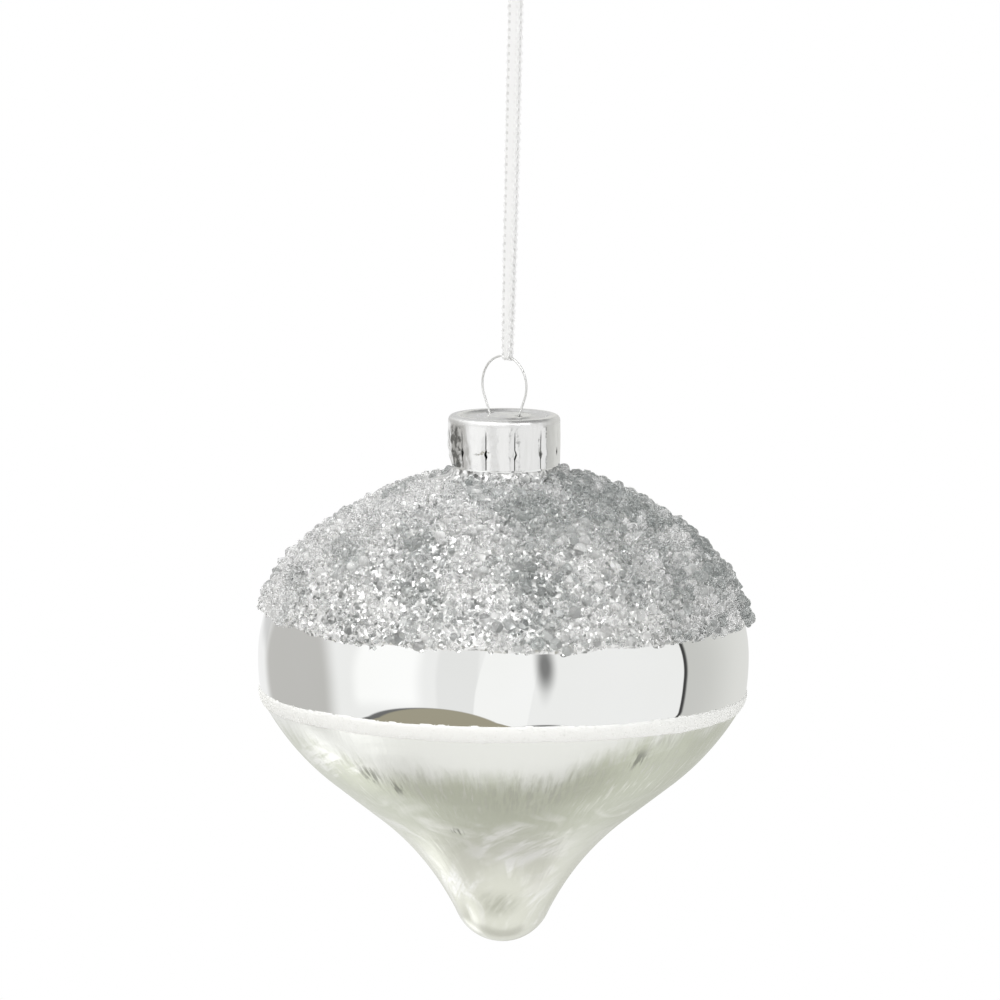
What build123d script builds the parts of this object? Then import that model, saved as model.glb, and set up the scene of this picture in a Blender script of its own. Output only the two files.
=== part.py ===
from build123d import *
from math import cos, degrees, pi, radians, sin
import os

# Sizes are in millimetres, +Z up. Every piece is drawn with Z = 0 on the top of the cap
# and is written out with the hanging point of the ribbon at the origin.

# Glass body: one outline of tangent arcs, met from the widest point upward and downward
EQUATOR_RADIUS = 40.4
EQUATOR_Z = -40.0
BELLY_RADIUS = 23.5
BELLY_TURN = 47.0
SHOULDER_RADIUS = 51.0
SHOULDER_TURN = 29.0
NECK_RADIUS = 8.3
NECK_RIM_Z = -0.8
WAIST_RADIUS = 41.5
WAIST_TURN = 7.25
CORNER_RADIUS = 7.2
CORNER_TURN = 21.75
UNDERSIDE_RADIUS = 41.5
UNDERSIDE_TURN = 23.25
CONE_LENGTH = 9.7
FLARE_RADIUS = 46.0
FLARE_TURN = 26.7
GLASS_WALL = 0.8

# Layers on the glass
SILVER_THICKNESS = 0.15
SILVER_TOP_Z = -3.0
FROST_THICKNESS = 0.22
ADHESIVE_THICKNESS = 0.4
ADHESIVE_TOP_Z = -9.0
BEAD_EDGE_Z = -33.5
GLITTER_TOP_Z = -45.7
GLITTER_BOTTOM_Z = -48.7
GLITTER_HEIGHT = 0.5

# Beads and chips, laid out in staggered rows over the shoulder
BEAD_PITCH = 3.3
FIRST_ROW_ANGLE = 74.5
LAST_ROW_ANGLE = 19.0
ROUND_BEAD_RADIUS = 1.15
SEED_BEAD_RADIUS = 0.7
CHIP_RADIUS = 0.85
CHIP_HEIGHT = 1.0
CHIP_SIDES = 5
CHIP_TAPER = 14.0
BEAD_STRAY = 0.3

# Pressed cap
CAP_TOP_RADIUS = 9.2
CAP_HEM_RADIUS = 9.3
CAP_HEIGHT = 8.2
CAP_SHEET = 0.3
CAP_EDGE_RADIUS = 0.9
RECESS_OUTER_RADIUS = 7.2
RECESS_INNER_RADIUS = 4.4
RECESS_DEPTH = 0.35
RECESS_SLOPE = 0.35
SLIT_COUNT = 12
SLIT_WIDTH = 0.35
SLIT_TOP_Z = -3.0
NOTCH_RADIUS = 1.1
WIRE_SLOT_LENGTH = 1.5
WIRE_SLOT_WIDTH = 0.9

# How far a cutter runs past the sheet it cuts
CUT_MARGIN = 1.0

# Sprung wire hanger
WIRE_RADIUS = 0.25
LOOP_RADIUS = 4.85
LOOP_CENTRE_Z = 4.8
LOOP_BELOW_CENTRE = 23.0
KNEE_Z = -0.75
KNEE_RADIUS = 1.0
LEG_SPLAY = 14.0
LEG_LENGTH = 13.4

# Narrow ribbon with an edge cord along both sides
RIBBON_WIDTH = 2.8
RIBBON_THICKNESS = 0.28
CORD_GAP = 0.02
STRAND_OFFSET = 0.41
FOLD_HALF_ANGLE = 14.0
FOLD_CORD_ANGLE = 16.2
FOLD_ARM = 0.55
STRAND_START = 0.75
STRAND_LENGTH = 46.5
SEGMENT_GAP = 0.3
HANGING_HEIGHT = 85.0
EYE_OUTER_RADIUS = 12.0
EYE_INNER_RADIUS = 8.0
EYE_TURN = 28.0
KNOT_RADIUS = 2.1
KNOT_END_RADIUS = 1.1
KNOT_HEIGHT = 3.4
TAIL_TURN = 20.0
TAIL_RADIUS = 6.0
TAIL_LENGTH = 5.0

CORD_RADIUS = RIBBON_THICKNESS / 2
CORD_X = RIBBON_WIDTH / 2 - CORD_RADIUS
FABRIC_WIDTH = 2 * (CORD_X - CORD_RADIUS - CORD_GAP)
FOLD_Z = LOOP_CENTRE_Z + LOOP_RADIUS
HANGING_POINT_Z = FOLD_Z + HANGING_HEIGHT

SHOULDER_END = BELLY_TURN + SHOULDER_TURN
CONE_ANGLE = WAIST_TURN + CORNER_TURN + UNDERSIDE_TURN
TIP_ANGLE = CONE_ANGLE - FLARE_TURN


def angle_cos(angle):
    return cos(radians(angle))


def angle_sin(angle):
    return sin(radians(angle))


# The shoulder ends at this radius; the neck fillet brings it in to the neck.
SHOULDER_END_RADIUS = (
    EQUATOR_RADIUS
    - BELLY_RADIUS * (1 - angle_cos(BELLY_TURN))
    - SHOULDER_RADIUS * (angle_cos(BELLY_TURN) - angle_cos(SHOULDER_END))
)
NECK_FILLET_RADIUS = (SHOULDER_END_RADIUS - NECK_RADIUS) / (1 - angle_cos(SHOULDER_END))


def tangent_arcs(start, heading, arcs):
    """Arcs that follow on from each other smoothly; each is a radius and a signed turn."""
    edges = []
    for radius, turn in arcs:
        edge = JernArc(start, heading, radius, turn)
        edges.append(edge)
        start = edge @ 1
        heading = edge % 1
    return edges


def glass_outline(offset, top_z):
    """Half outline of the glass moved outward by offset, from top_z down to the tip."""
    equator = (EQUATOR_RADIUS + offset, EQUATOR_Z)
    upper = tangent_arcs(
        equator,
        (0, 1),
        [
            (BELLY_RADIUS + offset, BELLY_TURN),
            (SHOULDER_RADIUS + offset, SHOULDER_TURN),
            (NECK_FILLET_RADIUS - offset, -SHOULDER_END),
        ],
    )
    neck_foot = upper[-1] @ 1
    neck = Line(neck_foot, (neck_foot.X, top_z))
    lower = tangent_arcs(
        equator,
        (0, -1),
        [
            (WAIST_RADIUS + offset, -WAIST_TURN),
            (CORNER_RADIUS + offset, -CORNER_TURN),
            (UNDERSIDE_RADIUS + offset, -UNDERSIDE_TURN),
        ],
    )
    cone_top = lower[-1] @ 1
    cone = Line(cone_top, cone_top + CONE_LENGTH * (lower[-1] % 1))
    flare = JernArc(cone @ 1, cone % 1, FLARE_RADIUS - offset, FLARE_TURN)
    tip_start = flare @ 1
    tip_radius = tip_start.X / angle_cos(TIP_ANGLE)
    tip = JernArc(tip_start, flare % 1, tip_radius, TIP_ANGLE - 90)
    return upper + [neck] + lower + [cone, flare, tip]


def revolved(edges):
    """Solid of revolution about Z from closed edges drawn in radius and height."""
    face = Plane.XZ * make_face(edges)
    return revolve(face, Axis.Z, 360)


def solid_glass(offset):
    """The glass outline filled in, as if the body were not hollow."""
    outline = glass_outline(offset, NECK_RIM_Z)
    neck_top = outline[3] @ 1
    rim = Line(neck_top, (0, NECK_RIM_Z))
    axis = Line((0, NECK_RIM_Z), outline[-1] @ 1)
    return revolved(outline + [rim, axis])


def coat(inner_offset, outer_offset, top_z):
    """Thin layer between two offsets of the glass outline, open at top_z."""
    inner = glass_outline(inner_offset, top_z)
    outer = glass_outline(outer_offset, top_z)
    top = Line(inner[3] @ 1, outer[3] @ 1)
    tip = Line(inner[-1] @ 1, outer[-1] @ 1)
    return revolved(inner + outer + [top, tip])


def slab(bottom_z, top_z):
    """Wide block used to keep only the part of a coat between two heights."""
    width = 4 * EQUATOR_RADIUS
    height = top_z - bottom_z
    return Pos(0, 0, bottom_z) * Box(width, width, height, align=(Align.CENTER, Align.CENTER, Align.MIN))


def glass_shell():
    """Blown glass body with a fire-rounded rim on its open neck."""
    inner = glass_outline(-GLASS_WALL, NECK_RIM_Z)
    outer = glass_outline(0, NECK_RIM_Z)
    rim_crest = (NECK_RADIUS - GLASS_WALL / 2, NECK_RIM_Z + GLASS_WALL / 2)
    rim = ThreePointArc(inner[3] @ 1, rim_crest, outer[3] @ 1)
    tip = Line(inner[-1] @ 1, outer[-1] @ 1)
    return revolved(inner + outer + [rim, tip])


def silver_lining():
    """Mirror film on the inside of the glass."""
    return coat(-GLASS_WALL - SILVER_THICKNESS, -GLASS_WALL, SILVER_TOP_Z)


def frost_coat():
    """Frosted lacquer over the drop, from the glitter band to the tip."""
    whole = coat(0, FROST_THICKNESS, NECK_RIM_Z)
    return whole & slab(-3 * EQUATOR_RADIUS, GLITTER_BOTTOM_Z)


def glitter_band():
    """Raised line of glitter round the lower corner of the mirrored waist."""
    raised = coat(0, GLITTER_HEIGHT, NECK_RIM_Z)
    return raised & slab(GLITTER_BOTTOM_Z, GLITTER_TOP_Z)


def bead_adhesive():
    """Glue coat on the shoulder, from just under the cap to the edge of the beading."""
    whole = coat(0, ADHESIVE_THICKNESS, NECK_RIM_Z)
    return whole & slab(BEAD_EDGE_Z, ADHESIVE_TOP_Z)


def shoulder_radius_and_z(angle, offset):
    """Point on the belly or shoulder arc whose normal is this angle above level."""
    belly_centre_radius = EQUATOR_RADIUS - BELLY_RADIUS
    radius = belly_centre_radius + (BELLY_RADIUS + offset) * angle_cos(angle)
    z = EQUATOR_Z + (BELLY_RADIUS + offset) * angle_sin(angle)
    if angle > BELLY_TURN:
        step = BELLY_RADIUS - SHOULDER_RADIUS
        radius = belly_centre_radius + step * angle_cos(BELLY_TURN)
        radius += (SHOULDER_RADIUS + offset) * angle_cos(angle)
        z = EQUATOR_Z + step * angle_sin(BELLY_TURN)
        z += (SHOULDER_RADIUS + offset) * angle_sin(angle)
    return radius, z


def scatter(row, column):
    """Repeatable fraction from 0 to 1 that looks random from bead to bead."""
    return (sin(12.9898 * row + 78.233 * column) * 43758.5453) % 1


def bead_places():
    """Angle above level, turn about Z and kind number (0, 1 or 2) of every bead."""
    places = []
    row = 0
    angle = FIRST_ROW_ANGLE
    while angle > LAST_ROW_ANGLE:
        arc_radius = SHOULDER_RADIUS if angle > BELLY_TURN else BELLY_RADIUS
        row_radius = shoulder_radius_and_z(angle, ADHESIVE_THICKNESS)[0]
        count = int(2 * pi * row_radius / BEAD_PITCH)
        for column in range(count):
            stray = BEAD_STRAY * (scatter(row, column + 0.5) - 0.5)
            turn = 360 * (column + 0.5 * (row % 2) + stray) / count
            kind = int(3 * scatter(row, column))
            places.append((angle, turn, kind))
        angle -= degrees(BEAD_PITCH / arc_radius)
        row += 1
    return places


def on_shoulder(angle, turn, height):
    """Location that stands height above the adhesive with its Z along the outward normal."""
    radius, z = shoulder_radius_and_z(angle, ADHESIVE_THICKNESS + height)
    origin = (radius * angle_cos(turn), radius * angle_sin(turn), z)
    normal = (angle_cos(angle) * angle_cos(turn), angle_cos(angle) * angle_sin(turn), angle_sin(angle))
    return Plane(origin=origin, z_dir=normal).location


def beads(kind, shape, height):
    """All the beads of one kind, each a copy of shape standing height above the adhesive."""
    copies = []
    for angle, turn, place_kind in bead_places():
        if place_kind == kind:
            copies.append(on_shoulder(angle, turn, height) * shape)
    return Compound(copies)


def round_beads():
    """Large clear glass beads."""
    return beads(0, Sphere(ROUND_BEAD_RADIUS), ROUND_BEAD_RADIUS)


def seed_beads():
    """Small clear glass beads."""
    return beads(1, Sphere(SEED_BEAD_RADIUS), SEED_BEAD_RADIUS)


def glass_chips():
    """Crushed glass between the beads, each a tapered stub standing on the glue."""
    outline = RegularPolygon(CHIP_RADIUS, CHIP_SIDES)
    chip = extrude(outline, CHIP_HEIGHT, taper=CHIP_TAPER)
    return beads(2, chip, 0)


def cap_blank():
    """Pressed sheet before it is slit: recessed top, rounded edge and flared skirt."""
    flat = CAP_TOP_RADIUS - CAP_EDGE_RADIUS
    bend = (1 - angle_cos(45)) * CAP_EDGE_RADIUS
    floor_z = -RECESS_DEPTH
    outer = [
        Polyline(
            (0, 0),
            (RECESS_INNER_RADIUS, 0),
            (RECESS_INNER_RADIUS + RECESS_SLOPE, floor_z),
            (RECESS_OUTER_RADIUS - RECESS_SLOPE, floor_z),
            (RECESS_OUTER_RADIUS, 0),
            (flat, 0),
        ),
        ThreePointArc((flat, 0), (CAP_TOP_RADIUS - bend, -bend), (CAP_TOP_RADIUS, -CAP_EDGE_RADIUS)),
        Line((CAP_TOP_RADIUS, -CAP_EDGE_RADIUS), (CAP_HEM_RADIUS, -CAP_HEIGHT)),
    ]
    inner_edge = CAP_EDGE_RADIUS - CAP_SHEET
    inner_bend = (1 - angle_cos(45)) * inner_edge
    wall = CAP_TOP_RADIUS - CAP_SHEET
    under = -CAP_SHEET
    inner = [
        Line((CAP_HEM_RADIUS, -CAP_HEIGHT), (CAP_HEM_RADIUS - CAP_SHEET, -CAP_HEIGHT)),
        Line((CAP_HEM_RADIUS - CAP_SHEET, -CAP_HEIGHT), (wall, -CAP_EDGE_RADIUS)),
        ThreePointArc((wall, -CAP_EDGE_RADIUS), (wall - inner_bend, under - inner_bend), (flat, under)),
        Polyline(
            (flat, under),
            (RECESS_OUTER_RADIUS + CAP_SHEET / 2, under),
            (RECESS_OUTER_RADIUS - RECESS_SLOPE + CAP_SHEET / 2, floor_z + under),
            (RECESS_INNER_RADIUS + RECESS_SLOPE - CAP_SHEET / 2, floor_z + under),
            (RECESS_INNER_RADIUS - CAP_SHEET / 2, under),
            (0, under),
            (0, 0),
        ),
    ]
    return revolved(outer + inner)


def cap_crown():
    """Cap with two wire slots and twelve slits that end in rounded notches at the hem."""
    cap = cap_blank()
    reach = 2 * CAP_HEM_RADIUS
    slit_height = CAP_HEIGHT + SLIT_TOP_Z + CUT_MARGIN
    slit = Box(reach, SLIT_WIDTH, slit_height, align=(Align.MIN, Align.CENTER, Align.MAX))
    notch = Rot(0, 90, 0) * Cylinder(NOTCH_RADIUS, reach, align=(Align.CENTER, Align.CENTER, Align.MIN))
    cutters = []
    for index in range(SLIT_COUNT):
        turn = Rot(0, 0, (index + 0.5) * 360 / SLIT_COUNT)
        cutters.append(turn * Pos(0, 0, SLIT_TOP_Z) * slit)
        cutters.append(turn * Pos(0, 0, -CAP_HEIGHT) * notch)
    for side in (-1, 1):
        slot = SlotOverall(WIRE_SLOT_LENGTH, WIRE_SLOT_WIDTH)
        hole = extrude(slot, CUT_MARGIN, both=True)
        cutters.append(Pos(side * wire_x_at(-CAP_SHEET / 2), 0, 0) * hole)
    return cap - cutters


def wire_x_at(z):
    """Distance from the axis of the wire's straight leg at a height above its knee."""
    leg_top_x = LOOP_RADIUS * angle_cos(LOOP_BELOW_CENTRE)
    leg_top_z = LOOP_CENTRE_Z - LOOP_RADIUS * angle_sin(LOOP_BELOW_CENTRE)
    return leg_top_x - (leg_top_z - z) * angle_sin(LOOP_BELOW_CENTRE) / angle_cos(LOOP_BELOW_CENTRE)


def wire_hanger():
    """Round loop whose legs pass down through the cap and splay inside the neck."""
    centre = (0, LOOP_CENTRE_Z)
    loop = CenterArc(centre, LOOP_RADIUS, -LOOP_BELOW_CENTRE, 180 + 2 * LOOP_BELOW_CENTRE)
    path = [loop]
    for side in (-1, 1):
        leg_top = (
            side * LOOP_RADIUS * angle_cos(LOOP_BELOW_CENTRE),
            LOOP_CENTRE_Z - LOOP_RADIUS * angle_sin(LOOP_BELOW_CENTRE),
        )
        leg = Line(leg_top, (side * wire_x_at(KNEE_Z), KNEE_Z))
        knee = JernArc(leg @ 1, leg % 1, KNEE_RADIUS, side * (LOOP_BELOW_CENTRE + LEG_SPLAY))
        foot = Line(knee @ 1, (knee @ 1) + LEG_LENGTH * (knee % 1))
        path += [leg, knee, foot]
    wire_path = Plane.XZ * Wire(path)
    section = Plane(origin=wire_path @ 0, z_dir=wire_path % 0) * Circle(WIRE_RADIUS)
    return sweep(section, path=wire_path)


def ribbon_bight():
    """Fabric folded under the wire, curved to follow the loop."""
    inner = STRAND_OFFSET - RIBBON_THICKNESS / 2
    outer = STRAND_OFFSET + RIBBON_THICKNESS / 2
    round_part = Circle(outer) - Circle(inner)
    below = Pos(0, -outer) * Rectangle(4 * outer, 2 * outer)
    arm = Rectangle(RIBBON_THICKNESS, FOLD_ARM, align=(Align.CENTER, Align.MIN))
    section = (round_part & below) + Pos(STRAND_OFFSET, 0) * arm + Pos(-STRAND_OFFSET, 0) * arm
    placed = Plane.YZ * Pos(0, FOLD_Z) * section
    loop_axis = Axis((0, 0, LOOP_CENTRE_Z), (0, 1, 0))
    start = placed.rotate(loop_axis, -FOLD_HALF_ANGLE)
    return revolve(start, loop_axis, 2 * FOLD_HALF_ANGLE)


def bight_cords():
    """Edge cords of the folded stretch, one at each side of the fabric."""
    path = Plane.YZ * Pos(0, FOLD_Z) * Wire(
        [
            Line((-STRAND_OFFSET, FOLD_ARM), (-STRAND_OFFSET, 0)),
            ThreePointArc((-STRAND_OFFSET, 0), (0, -STRAND_OFFSET), (STRAND_OFFSET, 0)),
            Line((STRAND_OFFSET, 0), (STRAND_OFFSET, FOLD_ARM)),
        ]
    )
    section = Plane(origin=path @ 0, z_dir=path % 0) * Circle(CORD_RADIUS)
    cord = sweep(section, path=path)
    loop_axis = Axis((0, 0, LOOP_CENTRE_Z), (0, 1, 0))
    return Compound([cord.rotate(loop_axis, side * FOLD_CORD_ANGLE) for side in (-1, 1)])


def strand_paths():
    """Centre lines of the two lower strands."""
    low = FOLD_Z + STRAND_START
    paths = []
    for side in (-1, 1):
        line = Line((side * STRAND_OFFSET, low), (side * STRAND_OFFSET, low + STRAND_LENGTH))
        paths.append(Plane.YZ * Wire([line]))
    return paths


def upper_paths():
    """Centre lines of the two upper strands: straight, then bowed out round the hanging eye."""
    low = FOLD_Z + STRAND_START + STRAND_LENGTH + SEGMENT_GAP
    eye_height = 2 * (EYE_OUTER_RADIUS + EYE_INNER_RADIUS) * angle_sin(EYE_TURN)
    eye_low = HANGING_POINT_Z - eye_height
    paths = []
    for side in (-1, 1):
        line = Line((side * STRAND_OFFSET, low), (side * STRAND_OFFSET, eye_low))
        bends = [
            (EYE_OUTER_RADIUS, -side * EYE_TURN),
            (EYE_INNER_RADIUS, side * 2 * EYE_TURN),
            (EYE_OUTER_RADIUS, -side * EYE_TURN),
        ]
        eye = tangent_arcs(line @ 1, (0, 1), bends)
        paths.append(Plane.YZ * Wire([line] + eye))
    return paths


def tail_paths():
    """Centre lines of the two cut tails that leave the top of the knot."""
    start_z = HANGING_POINT_Z + KNOT_HEIGHT
    paths = []
    for side in (-1, 1):
        bend = JernArc((side * STRAND_OFFSET, start_z), (0, 1), TAIL_RADIUS, -side * TAIL_TURN)
        end = Line(bend @ 1, (bend @ 1) + TAIL_LENGTH * (bend % 1))
        paths.append(Plane.YZ * Wire([bend, end]))
    return paths


def fabric(path):
    """Flat woven stretch of ribbon along a centre line."""
    start = Plane(origin=path @ 0, x_dir=(1, 0, 0), z_dir=path % 0)
    return sweep(start * Rectangle(FABRIC_WIDTH, RIBBON_THICKNESS), path=path)


def edge_cords(path):
    """The cord along each side of a stretch of ribbon."""
    cords = []
    for side in (-1, 1):
        edge_path = Pos(side * CORD_X, 0, 0) * path
        section = Plane(origin=edge_path @ 0, z_dir=edge_path % 0) * Circle(CORD_RADIUS)
        cords.append(sweep(section, path=edge_path))
    return cords


def ribbon_strands():
    """Fabric of the two lower strands."""
    return Compound([fabric(path) for path in strand_paths()])


def strand_cords():
    """Edge cords of the two lower strands."""
    cords = []
    for path in strand_paths():
        cords += edge_cords(path)
    return Compound(cords)


def knot():
    """Overhand knot that closes the ribbon, drawn as a barrel."""
    low = (KNOT_END_RADIUS, HANGING_POINT_Z)
    high = (KNOT_END_RADIUS, HANGING_POINT_Z + KNOT_HEIGHT)
    side = ThreePointArc(low, (KNOT_RADIUS, HANGING_POINT_Z + KNOT_HEIGHT / 2), high)
    top = Line(high, (0, high[1]))
    axis = Line((0, high[1]), (0, low[1]))
    bottom = Line((0, low[1]), low)
    return revolved([side, top, axis, bottom])


def ribbon_top():
    """Upper strands, knot and tails."""
    whole = knot()
    for path in upper_paths() + tail_paths():
        whole += fabric(path)
    return whole


def top_cords():
    """Edge cords of the upper strands and of the tails."""
    cords = []
    for path in upper_paths() + tail_paths():
        cords += edge_cords(path)
    return Compound(cords)


PIECES = {
    "glass_shell": glass_shell,
    "silver_lining": silver_lining,
    "frost_coat": frost_coat,
    "glitter_band": glitter_band,
    "bead_adhesive": bead_adhesive,
    "round_beads": round_beads,
    "seed_beads": seed_beads,
    "glass_chips": glass_chips,
    "cap_crown": cap_crown,
    "wire_hanger": wire_hanger,
    "ribbon_bight": ribbon_bight,
    "bight_cords": bight_cords,
    "ribbon_strands": ribbon_strands,
    "strand_cords": strand_cords,
    "ribbon_top": ribbon_top,
    "top_cords": top_cords,
}

os.makedirs("parts", exist_ok=True)
for name, build_piece in PIECES.items():
    piece = Pos(0, 0, -HANGING_POINT_Z) * build_piece()
    export_step(piece, f"parts/{name}.step")
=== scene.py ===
import itertools
import math
import random

import bmesh
import bpy
import numpy as np
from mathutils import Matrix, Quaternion, Vector


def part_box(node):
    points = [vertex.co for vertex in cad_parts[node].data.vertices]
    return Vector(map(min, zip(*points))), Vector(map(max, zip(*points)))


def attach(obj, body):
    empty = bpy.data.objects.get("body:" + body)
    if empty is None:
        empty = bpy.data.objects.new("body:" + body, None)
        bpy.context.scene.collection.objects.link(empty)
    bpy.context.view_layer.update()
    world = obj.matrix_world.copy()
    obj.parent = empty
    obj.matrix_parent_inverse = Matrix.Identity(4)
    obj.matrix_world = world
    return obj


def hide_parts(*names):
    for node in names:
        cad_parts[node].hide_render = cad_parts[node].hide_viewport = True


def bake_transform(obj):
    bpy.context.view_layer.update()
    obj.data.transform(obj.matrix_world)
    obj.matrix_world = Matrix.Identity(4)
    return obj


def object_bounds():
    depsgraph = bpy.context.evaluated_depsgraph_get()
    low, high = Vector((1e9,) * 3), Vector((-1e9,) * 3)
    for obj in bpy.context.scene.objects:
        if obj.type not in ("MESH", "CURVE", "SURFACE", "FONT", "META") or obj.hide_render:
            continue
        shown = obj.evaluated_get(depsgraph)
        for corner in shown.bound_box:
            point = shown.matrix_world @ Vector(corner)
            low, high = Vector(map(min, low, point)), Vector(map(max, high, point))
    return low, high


# Looks of a blown-glass drop ornament: mirrored waist, bead-crusted shoulder, frosted drop,
# pressed cap, wire loop and a narrow picot ribbon. Shapes are worked out in millimetres with
# height 0 on the cap's top face, and turned into the frame's metres by place().

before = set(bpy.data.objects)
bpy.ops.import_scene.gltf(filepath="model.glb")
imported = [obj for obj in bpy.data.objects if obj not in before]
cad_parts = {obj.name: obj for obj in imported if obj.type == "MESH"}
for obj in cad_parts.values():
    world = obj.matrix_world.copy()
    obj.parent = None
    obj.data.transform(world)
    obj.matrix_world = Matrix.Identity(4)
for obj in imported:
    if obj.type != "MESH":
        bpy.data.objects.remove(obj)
cad_low, cad_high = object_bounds()

MM = 0.001
CAP_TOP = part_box("cap_crown")[1].z

# Glass outline: tangent arcs, as (radius, turn in degrees), from the widest point
GLASS_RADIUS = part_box("glass_shell")[1].x / MM
EQUATOR_HEIGHT = -40.0
BELLY = (23.5, 47.0)
SHOULDER = (51.0, 29.0)
NECK_RADIUS = 8.3
NECK_RIM = -0.8
WAIST = (41.5, 7.25)
CORNER = (7.2, 21.75)
UNDERSIDE = (41.5, 23.25)
CONE_LENGTH = 9.7
FLARE = (46.0, 26.7)
GLASS_WALL = 0.8
BODY_SIDES = 320

# Heights where one finish gives way to the next, and how far the coats stand out or sink in
BEAD_EDGE = -33.2
BEAD_EDGE_TILT = 0.6
BEAD_TOP = -8.9
GLUE_TOP = -8.3
GLUE_SIDES = 420
GLITTER_TOP = -45.5
GLITTER_BOTTOM = -48.2
GLITTER_TILT = 0.3
GLITTER_RISE = 0.25
GLITTER_BASE = 0.05
GLITTER_SIDES = 600
GRAINS = 13000
SILVER_EDGE = -2.4
SUNK = -0.12

# Cap
CAP_RADIUS = 9.2
CAP_HEM_RADIUS = 9.15
CAP_HEIGHT = 8.2
CAP_SHEET = 0.26
CAP_EDGE = 0.9
PETALS = 12
PETAL_COLUMNS = 28
SLIT_TURN = 23.0
SLIT_TOP = -1.6
SLIT_HALF_WIDTH = 0.09
EYELET_TOP = -4.6
EYELET_BOTTOM = -6.7
EYELET_HALF_WIDTH = 0.42
WIRE_SLOT_ROUND = 0.45
WIRE_SLOT_STRETCH = 0.3
WIRE_SLOT_DEPTH = 1.5

# Wire hanger
WIRE_RADIUS = 0.18
LOOP_RADIUS = 4.85
LOOP_CENTRE = 4.8
LOOP_BELOW = 23.0
KNEE_HEIGHT = -0.75
KNEE_RADIUS = 1.0
LEG_SPLAY = 14.0
LEG_LENGTH = 13.4

# Ribbon
RIBBON_ASIDE = 0.65
FOLD_SAG = 0.06
FOLD_HEIGHT = LOOP_CENTRE + math.sqrt(LOOP_RADIUS**2 - RIBBON_ASIDE**2) - FOLD_SAG
FOLD_BEND = (4.0, 0.5)
HANG_HEIGHT = -CAP_TOP / MM
RIBBON_HALF_WIDTH = 1.12
RIBBON_THICKNESS = 0.22
RIBBON_CUP = 0.3
STRAND_OFFSET = 0.41
RIBBON_LEAN = 0.0255
PINCH = 0.48
PINCH_REACH = 14.0
PICOT_PITCH = 1.3
PICOT_ROW = 0.76
PICOT_SCALLOP = 0.05
THREAD_RADIUS = 0.095
THREAD_SWING = 0.12
THREAD_OUT = 0.06
PIECE_SPLIT = FOLD_HEIGHT + 20.0
TWIST_START = PIECE_SPLIT + 1.0
TWIST_END = PIECE_SPLIT + 42.0
STRAND_TOP = HANG_HEIGHT + 1.2
EYE_OUTER = 12.0
EYE_INNER = 8.0
EYE_TURN = 28.0

# Camera, as the object is seen: turned from the loop's face, a little above level
CAMERA_TURN = 42.0
CAMERA_FACING = math.radians(CAMERA_TURN - 90)
CAMERA_RISE = 7.8
CAMERA_DISTANCE = 1.5
CAMERA_SPAN = 0.1643
SENSOR = 36.0
AIM_HEIGHT = -14.2
AIM_SIDE = -0.65
CAMERA_ROLL = 0.22
FLOOR_DROP = 0.12
FLOOR_REACH = 30.0
FLOOR_POINTS = 24


# ------------------------ shapes


def place(points):
    """Millimetre points with height 0 on the cap's top, as frame metres."""
    moved = np.array(points, float) * MM
    moved[..., 2] += CAP_TOP
    return moved


def new_mesh(name, vertices, faces, smooth=True):
    """Mesh object from an array of places in metres and an array of equal-sided faces."""
    vertices = np.asarray(vertices, np.float32)
    faces = np.asarray(faces, np.int32)
    mesh = bpy.data.meshes.new(name)
    mesh.vertices.add(len(vertices))
    mesh.vertices.foreach_set("co", vertices.ravel())
    mesh.loops.add(faces.size)
    mesh.loops.foreach_set("vertex_index", faces.ravel())
    mesh.polygons.add(len(faces))
    mesh.polygons.foreach_set("loop_start", np.arange(len(faces), dtype=np.int32) * faces.shape[1])
    mesh.polygons.foreach_set("use_smooth", np.full(len(faces), smooth))
    mesh.update(calc_edges=True)
    mesh.validate()
    obj = bpy.data.objects.new(name, mesh)
    bpy.context.scene.collection.objects.link(obj)
    return obj


def set_values(obj, name, values):
    """Stores a number on each vertex, for a material to read."""
    attribute = obj.data.attributes.new(name, "FLOAT", "POINT")
    attribute.data.foreach_set("value", np.asarray(values, np.float32))


def dress(obj, materials, slot, *nodes):
    """Gives a piece its materials, and lets it stand for CAD nodes; slot is not used."""
    for material in materials:
        obj.data.materials.append(material)
    if nodes:
        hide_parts(*nodes)


def grid_faces(rows, columns, wrap=True):
    """Quads of a grid; with wrap, its columns join up round a closed section."""
    last = columns if wrap else columns - 1
    row, column = np.meshgrid(np.arange(rows - 1), np.arange(last), indexing="ij")
    after = (column + 1) % columns
    here, below = row * columns, (row + 1) * columns
    corners = (here + column, below + column, below + after, here + after)
    return np.stack([corner.ravel() for corner in corners], axis=1)


def merge_close(obj, distance=1e-7):
    """Welds coincident points, such as the ring at a pole."""
    bm = bmesh.new()
    bm.from_mesh(obj.data)
    bmesh.ops.remove_doubles(bm, verts=bm.verts, dist=distance)
    bmesh.ops.dissolve_degenerate(bm, edges=bm.edges, dist=distance)
    bm.to_mesh(obj.data)
    bm.free()


def arc_run(start, heading, pieces, spacing):
    """Points along arcs and straights that follow on smoothly in radius and height.

    Each piece is (radius, signed turn in degrees), or (None, length) for a straight.
    A heading of 0 points along +height and grows towards the axis. Returns the points, their
    outward normals' angles above level, and the last heading in radians.
    """
    points, normals = [np.array(start, float)], [heading]
    for radius, amount in pieces:
        length = amount if radius is None else radius * abs(math.radians(amount))
        steps = max(2, int(length / spacing))
        turn = 0.0 if radius is None else math.radians(amount) / steps
        chord = length / steps if radius is None else 2 * radius * abs(math.sin(turn / 2))
        for _ in range(steps):
            middle = heading + turn / 2
            points.append(points[-1] + chord * np.array([-math.sin(middle), math.cos(middle)]))
            heading += turn
            normals.append(heading)
    return np.array(points), np.array(normals), heading


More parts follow.
